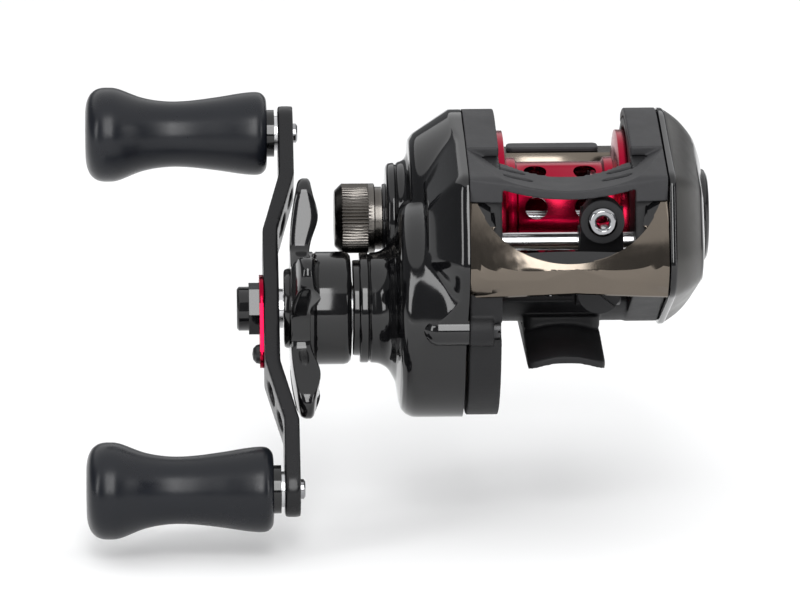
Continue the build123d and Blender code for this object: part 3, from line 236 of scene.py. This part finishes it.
def skin(name, loops, look, body, replaced=(), closed=True, caps=(False, False), angle=32.0):
    """Lofts a piece through loops of points. A cap closes the first or last loop with a fan."""
    count = len(loops[0])
    points = [tuple(p) for loop in loops for p in loop]
    faces = []
    for row in range(len(loops) - 1):
        for i in range(count if closed else count - 1):
            j = (i + 1) % count
            a, b = row * count, (row + 1) * count
            faces.append((a + i, a + j, b + j, b + i))
    for wanted, start in zip(caps, (0, (len(loops) - 1) * count)):
        if wanted:
            centre = tuple(sum(p[k] for p in points[start:start + count]) / count for k in range(3))
            points.append(centre)
            last = len(points) - 1
            faces += [(start + i, start + (i + 1) % count, last) for i in range(count)]
    return piece(name, points, faces, look, body, replaced, angle)


def rounded(corners, steps=4):
    """Rounds the corners of a profile. A corner is (x, r) or (x, r, fillet)."""
    out = []
    for i, corner in enumerate(corners):
        size = corner[2] if len(corner) > 2 else 0.0
        p = Vector(corner[:2])
        if size <= 0 or i in (0, len(corners) - 1):
            out.append(tuple(p))
            continue
        before, after = Vector(corners[i - 1][:2]) - p, Vector(corners[i + 1][:2]) - p
        cut = min(size, before.length * 0.49, after.length * 0.49)
        a, b = p + before.normalized() * cut, p + after.normalized() * cut
        for k in range(steps + 1):
            t = k / steps
            out.append(tuple(a * (1 - t) ** 2 + p * 2 * t * (1 - t) + b * t ** 2))
    return out


def smooth_line(corners, steps=8):
    """Catmull-Rom curve through the corners of a profile."""
    out = []
    for i in range(len(corners) - 1):
        p0, p1 = Vector(corners[max(i - 1, 0)]), Vector(corners[i])
        p2, p3 = Vector(corners[i + 1]), Vector(corners[min(i + 2, len(corners) - 1)])
        for k in range(steps):
            t = k / steps
            out.append(tuple(0.5 * (2 * p1 + (p2 - p0) * t + (2 * p0 - 5 * p1 + 4 * p2 - p3) * t * t
                                    + (3 * p1 - p0 - 3 * p2 + p3) * t ** 3)))
    out.append(tuple(corners[-1]))
    return out


def circle(x, centre, radius, count=96):
    turns = [2 * math.pi * i / count for i in range(count)]
    return [(x, centre[0] + radius * math.cos(a), centre[1] + radius * math.sin(a)) for a in turns]


def around(stations, centre, radii, turns):
    """Loop round an axle with its own station and radius at each angle."""
    return [(x, centre[0] + r * math.cos(a), centre[1] + r * math.sin(a))
            for x, r, a in zip(stations, radii, turns)]


def lathe(name, centre, profile, look, body, replaced=(), count=96, angle=32.0, ring=False):
    """Turned piece about an axle along X. A profile that starts or ends on the axis is closed there; a ring's
    profile closes on itself."""
    closed = [r < 1e-4 for _, r in (profile[0], profile[-1])]
    rows = [p for p in profile if p[1] >= 1e-4]
    loops = [circle(x, centre, r, count) for x, r in rows]
    if ring:
        loops.append(loops[0])
    return skin(name, loops, look, body, replaced, caps=(closed[0], closed[1]), angle=angle)


def support(circles, grow=0.0, count=360):
    """Directions and hull distances of the hull of circles (y, z, radius)."""
    turns = np.linspace(0, 2 * np.pi, count, endpoint=False)
    way = np.stack([np.cos(turns), np.sin(turns)], 1)
    far = np.max([[c[0], c[1]] @ way.T + c[2] + grow for c in circles], axis=0)
    return way, far


def reach(circles, centre, turns, grow=0.0):
    """Distance from centre to the hull's edge in each direction."""
    way, far = support(circles, grow, 720)
    rays = np.stack([np.cos(turns), np.sin(turns)], 1)
    room = far - np.array(centre) @ way.T
    facing = rays @ way.T
    share = np.where(facing > 1e-3, room[None, :] / np.maximum(facing, 1e-3), 1e9)
    return share.min(axis=1)


def depth_inside(points, circles):
    """How far each point lies inside the hull's edge."""
    way, far = support(circles, 0.0, 360)
    return (far[None, :] - points @ way.T).min(axis=1)


def soften(node_name, width=0.25, segments=2, angle=30.0):
    """Rounds the sharp edges of a CAD node with modifiers; its own mesh stays as it is."""
    made = frame["nodes"][node_name]
    weld = made.modifiers.new("weld", "WELD")
    weld.merge_threshold = 1e-6
    flat = made.modifiers.new("flat", "DECIMATE")
    flat.decimate_type = "DISSOLVE"
    flat.angle_limit = math.radians(0.5)
    bevel = made.modifiers.new("bevel", "BEVEL")
    bevel.width = width * MM
    bevel.segments = segments
    bevel.limit_method = "ANGLE"
    bevel.angle_limit = math.radians(angle)
    bevel.harden_normals = False
    bevel.use_clamp_overlap = True
    made.modifiers.new("split", "TRIANGULATE")
    return made


def moulded(node_name, voxel=0.3, rounds=6):
    """Rounds every edge of a CAD node as a moulding has them, with modifiers."""
    made = frame["nodes"][node_name]
    grid = made.modifiers.new("grid", "REMESH")
    grid.mode = "VOXEL"
    grid.voxel_size = voxel * MM
    grid.use_smooth_shade = True
    soft = made.modifiers.new("soft", "SMOOTH")
    soft.factor = 0.5
    soft.iterations = rounds
    return made


# ---------------------------------------------------------------- outlines of the body
DOME = (*SPOOL, 21.0)
LIP = (-29.2, 33.6, 3.5)
CHIN = (-30.5, 20.0, 7.0)
TAIL = (15.5, 15.5, 7.2)
CASE = (*DRIVE, 21.2)
GEAR_FACE_CENTRE = ((SPOOL[0] + DRIVE[0]) / 2, (SPOOL[1] + DRIVE[1]) / 2)


# ---------------------------------------------------------------- gear side plate
def gear_height(points):
    """How far out the gear side plate's face stands at each (y, z), in millimetres from the middle plane."""
    from_drive = np.hypot(points[:, 0] - DRIVE[0], points[:, 1] - DRIVE[1])
    from_spool = np.hypot(points[:, 0] - SPOOL[0], points[:, 1] - SPOOL[1])
    edge = depth_inside(points, [DOME, LIP, CHIN, TAIL, CASE])
    case = np.interp(from_drive, [0, 11.6, 14.4, 18.2, 19.6, 20.5, 21.0, 21.3, 23.5, 26.0, 34.0],
                     [33.8, 33.6, 32.2, 31.6, 31.2, 30.4, 29.4, 28.4, 23.0, 19.0, 10.0])
    dome = np.interp(from_spool, [0, 10.7, 15.2, 16.4, 21.0, 24.0, 36.0],
                     [29.7, 29.5, 29.2, 28.3, 21.3, 18.5, 12.0])
    rim = 19.6 + 6.9 * np.clip(edge / 8.0, 0, 1) ** 0.7
    soft = 0.45
    stack = np.stack([case, dome, rim]) / soft
    top = stack.max(axis=0)
    return soft * (top + np.log(np.exp(stack - top).sum(axis=0)))


def open_bores(mesh, bores):
    """Cuts the face open under the collar and the neck, where the pinion and the drive shaft go through."""
    made = bmesh.new()
    made.from_mesh(mesh)
    inside = []
    for face in made.faces:
        middle = face.calc_center_median() / MM
        if any(math.hypot(middle.y - at[0], middle.z - at[1]) < radius for at, radius in bores):
            inside.append(face)
    bmesh.ops.delete(made, geom=inside, context="FACES")
    made.to_mesh(mesh)
    made.free()


def gear_plate():
    count, rings = 288, 84
    turns = np.linspace(0, 2 * np.pi, count, endpoint=False)
    far = reach([DOME, LIP, CHIN, TAIL, CASE], GEAR_FACE_CENTRE, turns)
    way = np.stack([np.cos(turns), np.sin(turns)], 1)
    loops = []
    for k in range(rings):
        s = (k + 1) / rings
        share = 1 - (1 - s) ** 1.45
        spots = np.array(GEAR_FACE_CENTRE) + way * (far * share)[:, None]
        high = gear_height(spots)
        if k == rings - 1:
            high -= 0.55
        loops.append([(-h, y, z) for h, (y, z) in zip(high, spots)])
    edge_spots = np.array(GEAR_FACE_CENTRE) + way * far[:, None]
    edge_high = gear_height(edge_spots) - 0.55
    for share in (0.25, 0.5, 0.75, 1.0):
        high = edge_high * (1 - share) + 18.9 * share
        loops.append([(-h, y, z) for h, (y, z) in zip(high, edge_spots)])
    made = skin("gear_side_plate_shell", loops, "gloss_black", "root", ("gear_side_plate",),
                caps=(True, False), angle=70.0)
    open_bores(made.data, ((SPOOL, 4.9), (DRIVE, 8.0)))
    relax = made.modifiers.new("relax", "SMOOTH")
    relax.factor = 0.5
    relax.iterations = 3
    thick = made.modifiers.new("thick", "SOLIDIFY")
    thick.thickness = 1.4 * MM
    thick.offset = -1.0
    return made


gear_plate()
lathe("gear_side_plate_neck", DRIVE, rounded([
    (-32.6, 7.6), (-32.6, 13.6), (-33.6, 11.7, 1.0), (-35.4, 10.7, 1.2), (-36.9, 10.6, 0.2),
    (-37.2, 10.2, 0.2), (-37.5, 10.6, 0.2), (-39.1, 10.6, 0.5), (-39.1, 9.2, 0.2), (-40.4, 9.2, 0.4),
    (-40.4, 4.7, 0.3), (-37.7, 4.7, 0.2), (-37.7, 7.6, 0.2)]), "gloss_black", "root", ring=True)
lathe("gear_side_plate_collar", SPOOL, rounded([
    (-31.4, 1.8), (-31.4, 5.2), (-29.2, 5.2), (-29.2, 13.2), (-29.9, 11.3, 0.8), (-31.4, 10.75, 0.5),
    (-31.7, 10.3, 0.2), (-32.0, 10.75, 0.2), (-33.2, 10.6, 0.6), (-33.6, 9.8, 0.3), (-33.6, 6.7, 0.6),
    (-34.3, 6.6, 0.3), (-34.3, 5.1, 0.2), (-38.0, 5.1, 0.3), (-38.1, 1.8, 0.2)]),
    "gloss_black", "root", ring=True)


def screw_boss():
    """Bullet-shaped boss over the front screw of the gear side plate, with its web to the case."""
    middle = (-32.3, 7.4)
    tip = (-27.8, 0.0)
    profile = [(-18.9, 3.0), (-24.4, 3.0), (-25.4, 2.85), (-26.3, 2.4), (-27.1, 1.6), (-27.6, 0.8), tip]
    lathe("gear_side_plate_screw_boss", middle, smooth_line(profile, 3)[:-1] + [tip], "gloss_black",
          "root", count=48)
    turns = np.linspace(0, 2 * np.pi, 64, endpoint=False)
    web = [(*middle, 2.7), (middle[0] + 6, middle[1], 3.6)]
    centre = (middle[0] + 3, middle[1])
    far = reach(web, centre, turns)
    loops = []
    for x, inset in ((-18.9, 0.0), (-24.4, 0.0), (-24.8, 0.15), (-25.0, 0.5), (-25.05, 1.4)):
        loops.append(around([x] * len(turns), centre, far - inset, turns))
    skin("gear_side_plate_screw_web", loops, "gloss_black", "root", caps=(True, True))


screw_boss()


# ---------------------------------------------------------------- palm side plate
SLOPE_FROM, RIDGE = 20.3, 25.5  # stations where the palm plate's sloped facet starts and ends


def palm_plate():
    count = 240
    centre = (-4.0, 22.0)
    turns = np.linspace(0, 2 * np.pi, count, endpoint=False)
    near = reach([DOME, LIP, CHIN, TAIL], centre, turns)
    far = reach([(*SPOOL, 15.5), (-20.0, 29.0, 3.5), (-23.5, 19.5, 5.0), (9.0, 16.0, 6.5)], centre, turns)
    seat = reach([(*SPOOL, 9.3)], centre, turns)

    def loop(x, radii):
        return around([x] * count, centre, radii, turns)

    loops = [loop(19.0, near - 1.6), loop(19.0, near - 0.25), loop(19.1, near - 0.08), loop(19.25, near),
             loop(19.9, near - 0.02), loop(20.1, near - 0.12), loop(SLOPE_FROM, near - 0.35)]
    for k in range(1, 10):
        share = k / 10
        bulge = 0.55 * math.sin(math.pi * share)
        loops.append(loop(SLOPE_FROM + (RIDGE - SLOPE_FROM) * share + bulge * 0.5,
                          (near - 0.35) * (1 - share) + (far + 0.25) * share + bulge * 0.6))
    loops += [loop(RIDGE + 0.05, far + 0.12), loop(RIDGE + 0.2, far - 0.1), loop(RIDGE + 0.45, far - 0.45)]
    for share in (0.15, 0.3, 0.5, 0.7, 0.85, 0.96):
        loops.append(loop(RIDGE + 0.45 + (27.4 - RIDGE - 0.45) * math.sin(math.pi / 2 * share),
                          (far - 0.45) * (1 - share) + seat * share))
    loops += [loop(27.38, seat + 0.12), loop(27.25, seat), loop(26.5, seat - 0.02), loop(26.45, seat - 0.4),
              loop(26.45, seat * 0.6), loop(26.45, seat * 0.33)]
    made = skin("palm_side_plate_shell", loops, "satin_grey", "root", ("palm_side_plate",), angle=40.0)
    made.data.materials.append(LOOKS["gloss_black"])
    for face in made.data.polygons:
        if not (SLOPE_FROM - 0.1) * MM < face.center.x < (RIDGE + 0.1) * MM:
            face.material_index = 1
    thick = made.modifiers.new("thick", "SOLIDIFY")
    thick.thickness = 0.9 * MM
    thick.offset = -1.0
    return made


palm_plate()


# ---------------------------------------------------------------- nose cover
COVER_HALF, COVER_TOP = 18.75, 32.6
# (z, y) of the nose's outer face in the middle plane
NOSE_PROFILE = [(12.6, -33.2), (14.2, -36.3), (16.5, -38.4), (18.6, -39.5), (20.6, -39.9), (22.5, -39.45),
                (25.0, -38.2), (29.0, -35.9), (33.0, -33.5), (36.0, -32.2)]
# the window is a rounded rectangle inside a wide scooped ellipse
WINDOW_HALF, WINDOW_LOW, WINDOW_CORNER = 14.8, 23.7, 4.4
SCOOP_TOP, SCOOP_HALF, SCOOP_DROP, SCOOP_DEPTH = 36.2, 18.1, 14.4, 12.0
FACET_SLOPE = 0.5  # how fast the facet under the ridge falls back


def nose_front(x, z):
    """y of the nose's outer face."""
    across_share = abs(x) / COVER_HALF
    heights, fronts = zip(*NOSE_PROFILE)
    return float(np.interp(z, heights, fronts)) + 2.2 * across_share ** 2.2


def scoop_front(x, z):
    """y of the scooped face, which falls away from the ellipse towards the window."""
    out = math.hypot(x / SCOOP_HALF, (SCOOP_TOP - z) / SCOOP_DROP)
    return nose_front(x, z) + SCOOP_DEPTH * max(0.0, 1 - out)


def window_edge(x):
    """Height of the window's lower edge, or of the cover's top beside the window."""
    if abs(x) > WINDOW_HALF:
        return COVER_TOP
    into = max(0.0, abs(x) - (WINDOW_HALF - WINDOW_CORNER))
    return WINDOW_LOW + WINDOW_CORNER - math.sqrt(max(0.0, WINDOW_CORNER ** 2 - into ** 2))


def nose_cover():
    scoop, upper, lower = 10, 12, 10
    side = [WINDOW_HALF + 0.01 + (COVER_HALF - WINDOW_HALF - 0.01) * i / 10 for i in range(11)]
    corner = [WINDOW_HALF - WINDOW_CORNER * (1 - math.cos(math.pi * i / 28)) for i in range(14, -1, -1)]
    half = [(WINDOW_HALF - WINDOW_CORNER) * i / 24 for i in range(24)] + corner + side
    stations = [-x for x in reversed(half)] + half[1:]
    loops = []
    for x in stations:
        share = abs(x) / COVER_HALF
        inside = max(0.0, 1 - (x / SCOOP_HALF) ** 2)
        window = window_edge(x)
        rim = min(SCOOP_TOP - SCOOP_DROP * math.sqrt(inside), COVER_TOP)
        window = max(window, rim + 0.01)
        bottom = 15.6 - 1.5 * share ** 2
        ridge = max(20.9 - 0.36 * max(0.0, abs(x - 1.2) - 0.3), bottom + 0.35)
        column = []
        for k in range(scoop):
            z = window + (rim - window) * k / scoop
            column.append((x, scoop_front(x, z), z))
        for k in range(upper + 1):
            z = rim + (ridge - rim) * k / upper
            column.append((x, nose_front(x, z), z))
        front = nose_front(x, ridge)
        for k in range(1, lower + 1):
            z = ridge + (bottom - ridge) * k / lower
            column.append((x, front + FACET_SLOPE * (ridge - z), z))
        back = column[-1]
        column.append((x, back[1] + 0.5, bottom - 0.35))
        for k in range(1, 7):
            column.append((x, back[1] + 0.5 + 1.35 * k, bottom - 0.35 - 0.12 * k))
        loops.append(column)
    made = skin("nose_cover_shell", loops, "smoked_chrome", "root", ("nose_cover",), closed=False, angle=12.0)
    made.data.materials.append(LOOKS["gloss_black"])
    for face in made.data.polygons:
        x, z = face.center.x / MM, face.center.z / MM
        if math.hypot(x / SCOOP_HALF, (SCOOP_TOP - z) / SCOOP_DROP) < 0.995 and z < COVER_TOP:
            face.material_index = 1
    thick = made.modifiers.new("thick", "SOLIDIFY")
    thick.thickness = 0.9 * MM
    thick.offset = -1.0
    edge = made.modifiers.new("edge", "BEVEL")
    edge.width = 0.18 * MM
    edge.segments = 2
    edge.limit_method = "ANGLE"
    edge.angle_limit = math.radians(50)
    return made

nose_cover()

# ---------------------------------------------------------------- knobs
GRIP = [(-91.6, 0.02), (-91.6, 3.0), (-91.5, 5.2), (-91.1, 6.9), (-90.3, 8.2), (-89.0, 9.0), (-87.2, 9.2),
        (-85.0, 8.9), (-80.5, 7.2), (-76.0, 6.45), (-71.5, 6.5), (-66.0, 7.15), (-61.5, 7.85), (-59.0, 8.1),
        (-57.6, 8.0), (-56.8, 7.5), (-56.35, 6.8), (-56.2, 6.0), (-56.2, 5.0)]
for side_name, knob_axle in (("upper_knob", UPPER), ("lower_knob", LOWER)):
    profile = [(-91.6, 0.0)] + smooth_line(GRIP, 6) + [(-56.2, 4.0), (-60.0, 3.0)]
    lathe(f"{side_name}_grip", knob_axle, profile, "knob_charcoal", side_name, (side_name,), count=128,
          angle=60.0)


# ---------------------------------------------------------------- star drag
def star_wheel():
    arms, first = 5, math.radians(77.0)
    count = 400
    turns = np.linspace(0, 2 * np.pi, count, endpoint=False)
    off = (turns - first + math.pi / arms) % (2 * math.pi / arms) - math.pi / arms
    # the arm: a hull of a wide root circle and a tip circle, seen from the axle
    reach_out = reach([(7.0, 0.0, 5.2), (21.7, 0.0, 3.3)], (0.0, 0.0), off)
    hub = np.full(count, 12.2)
    soft = 0.8
    radius = soft * np.log(np.exp(reach_out / soft) + np.exp(hub / soft))
    tip = np.clip((radius - 12.2) / (25.0 - 12.2), 0, 1)

    def loop(inset, x_hub, x_tip, bulge=0.0):
        far = radius - inset * (0.4 + 0.6 * tip)
        blend = np.clip((far - 12.2) / 12.5, 0, 1) ** 1.5
        xs = x_hub + (x_tip - x_hub) * blend + bulge * np.exp(-((far - 18.0) / 4.0) ** 2)
        return around(xs, DRIVE, far, turns)

    def disc(x, r):
        return around([x] * count, DRIVE, np.minimum(radius, r), turns)

    loops = [disc(-53.6, 2.7), disc(-53.6, 6.9), disc(-53.45, 7.4), disc(-53.1, 7.6), disc(-52.6, 7.7),
             disc(-52.4, 8.3), disc(-52.4, 10.6)]
    for share in (0.12, 0.3, 0.5, 0.7, 0.85):
        far = 10.6 + (radius - 1.3 - 10.6) * share
        blend = np.clip((far - 12.2) / 12.5, 0, 1) ** 1.5
        loops.append(around(-52.4 + 1.7 * blend, DRIVE, far, turns))
    loops += [loop(0.95, -52.35, -50.65), loop(0.45, -52.15, -50.5), loop(0.12, -51.7, -50.1),
              loop(0.0, -51.1, -49.7),
              loop(0.0, -49.9, -48.95, 0.9), loop(0.15, -49.3, -48.7, 1.3), loop(0.6, -48.95, -48.4, 1.6),
              loop(1.2, -48.85, -48.3, 1.8)]
    for share in (0.35, 0.7):
        far = (radius - 1.2) + (11.2 - (radius - 1.2)) * share
        swell = 1.8 * np.exp(-((far - 18.0) / 4.0) ** 2)
        loops.append(around(-48.8 + swell, DRIVE, far, turns))
    loops += [disc(-48.8, 11.1), disc(-48.4, 10.9), disc(-48.0, 10.88), disc(-47.7, 10.6), disc(-47.4, 10.88),
              disc(-42.2, 10.88), disc(-41.4, 10.7), disc(-40.8, 10.1), disc(-40.7, 9.6), disc(-40.7, 8.6),
              disc(-44.4, 8.4), disc(-44.4, 4.7), disc(-44.4, 2.7)]
    loops.append(loops[0])
    return skin("star_drag_wheel", loops, "gloss_black", "star", ("star_drag",), angle=38.0)


star_wheel()


# ---------------------------------------------------------------- worm with its crossed grooves
def worm():
    """The worm shaft, with a right-hand and a left-hand helical groove that cross."""
    half, pitch, track = 12.4, 6.0, 9.6
    body, journal, groove = 2.3, 1.4, 0.62
    count, steps = 72, 220
    turns = np.linspace(0, 2 * np.pi, count, endpoint=False)
    loops = [circle(-20.4, WORM, 0.2, count), circle(-20.4, WORM, 1.2, count),
             circle(-20.2, WORM, journal, count), circle(-12.45, WORM, journal, count)]
    for k in range(steps + 1):
        x = -half + 2 * half * k / steps
        radii = np.full(count, body)
        if abs(x) < track:
            for hand in (-1, 1):
                off = (x / pitch - hand * turns / (2 * np.pi)) % 1.0
                off = np.minimum(off, 1 - off) * pitch
                radii = np.minimum(radii, body - groove * np.clip((0.75 - off) / 0.3, 0, 1))
        loops.append(around([x] * count, WORM, radii, turns))
    loops += [circle(12.45, WORM, journal, count), circle(18.4, WORM, journal, count),
              circle(18.6, WORM, 1.2, count), circle(18.6, WORM, 0.2, count)]
    return skin("worm_crossed_grooves", loops, "steel", "worm", ("worm_shaft",), caps=(True, True),
                angle=40.0)


worm()


# ---------------------------------------------------------------- cast control knob
def cast_knob():
    """The knob with its fine straight knurls between two plain bands."""
    low, high = box_mm("cast_control_knob")
    outer, knurls, per_knurl = (high[2] - low[2]) / 2, 60, 6
    turns = 2 * np.pi * np.arange(knurls * per_knurl) / (knurls * per_knurl)
    wave = 0.5 - 0.5 * np.cos(turns * knurls)
    groove = 0.34
    # (distance from the outer face, radius, whether the knurls cut it)
    profile = [(0.0, 0.3, 0), (0.0, 5.2, 0), (0.12, 5.5, 0), (0.5, 5.85, 0), (1.1, outer - 0.3, 0),
               (1.3, outer - 0.1, 0), (1.4, outer, 0), (1.55, outer, 1), (6.4, outer, 1), (6.55, outer, 0),
               (7.6, outer, 0), (7.8, outer - 0.2, 0), (7.85, 6.1, 0), (9.1, 6.1, 0), (9.1, 4.9, 0),
               (6.0, 4.9, 0)]
    loops = []
    for out, radius, cut in profile:
        loops.append(around([low[0] + out] * len(turns), SPOOL, radius - groove * cut * wave, turns))
    return skin("cast_control_knob_shell", loops, "gunmetal", "cast_control", ("cast_control_knob",),
                caps=(True, False), angle=34.0)


cast_knob()

# ---------------------------------------------------------------- edges of the CAD nodes that stay
moulded("thumb_rest", 0.22, 4)
moulded("frame", 0.3, 4)
moulded("handle_arm", 0.35, 10)
for node_name, width in (("handle_nut", 0.3), ("nut_keeper", 0.15), ("line_guide_carriage", 0.3),
                         ("thumb_bar", 0.35), ("spool", 0.18), ("pawl_cap", 0.2), ("guide_clip", 0.15),
                         ("brake_dial", 0.2), ("line_guide_ring", 0.1),
                         ("thumb_bar_pad", 0.15)):
    soften(node_name, width)

# ---------------------------------------------------------------- floor, light and camera
studio = bpy.data.worlds.new("studio")
bpy.context.scene.world = studio
studio.use_nodes = True
studio.node_tree.nodes["Background"].inputs["Color"].default_value = (0.95, 0.97, 1.0, 1)
studio.node_tree.nodes["Background"].inputs["Strength"].default_value = 0.22

floor_mesh = bpy.data.meshes.new("floor")
FLOOR_GAP, FLOOR_HALF = 0.004, 6.0  # metres
floor_low = CAD_BOX[0].z - FLOOR_GAP
corners = ((-1, -1), (1, -1), (1, 1), (-1, 1))
floor_mesh.from_pydata([(x * FLOOR_HALF, y * FLOOR_HALF, floor_low) for x, y in corners], [], [(0, 1, 2, 3)])
floor = bpy.data.objects.new("floor", floor_mesh)
bpy.context.scene.collection.objects.link(floor)
floor_mesh.materials.append(shade("pale_floor", (0.93, 0.93, 0.93), 0.85, spread=0.01, patch=2.0,
                                  rough_spread=0.03))

sky = bpy.data.lights.new("overhead_sun", "SUN")
sky.energy = 2.2
sky.angle = math.radians(120)
sky_lamp = bpy.data.objects.new("overhead_sun", sky)
sky_lamp.rotation_euler = (math.radians(-14), math.radians(6), 0)
bpy.context.scene.collection.objects.link(sky_lamp)


def lamp(name, place, aim, size, power):
    data = bpy.data.lights.new(name, "AREA")
    data.shape = "RECTANGLE"
    data.size, data.size_y = size
    data.energy = power
    made = bpy.data.objects.new(name, data)
    made.location = place
    made.rotation_mode = "QUATERNION"
    made.rotation_quaternion = (Vector(aim) - Vector(place)).to_track_quat("-Z", "Y")
    bpy.context.scene.collection.objects.link(made)
    return made


HEART = (-0.02, 0.0, 0.02)
lamp("left_box", (-0.70, -0.45, 0.30), HEART, (0.22, 0.5), 2.0)
lamp("right_box", (0.70, -0.50, 0.25), HEART, (0.2, 0.5), 2.0)
lamp("front_box", (-0.03, -1.55, 0.98), HEART, (0.5, 1.5), 19.0)

CAMERA_AZIMUTH, CAMERA_ELEVATION, CAMERA_DISTANCE = -2.2, 14.0, 1.3
AIM = Vector((-0.0307, 0.0, 0.0053))
camera_data = bpy.data.cameras.new("camera")
camera_data.lens = 301.0
camera_data.sensor_width = 36.0
camera_data.clip_start = 0.05
camera = bpy.data.objects.new("camera", camera_data)
bpy.context.scene.collection.objects.link(camera)
turn, rise = math.radians(CAMERA_AZIMUTH), math.radians(CAMERA_ELEVATION)
back = Vector((math.sin(turn) * math.cos(rise), -math.cos(turn) * math.cos(rise), math.sin(rise)))
camera.location = AIM + back * CAMERA_DISTANCE
camera.rotation_mode = "QUATERNION"
camera.rotation_quaternion = (-back).to_track_quat("-Z", "Y")
bpy.context.scene.camera = camera
bpy.context.scene.view_settings.view_transform = "Standard"
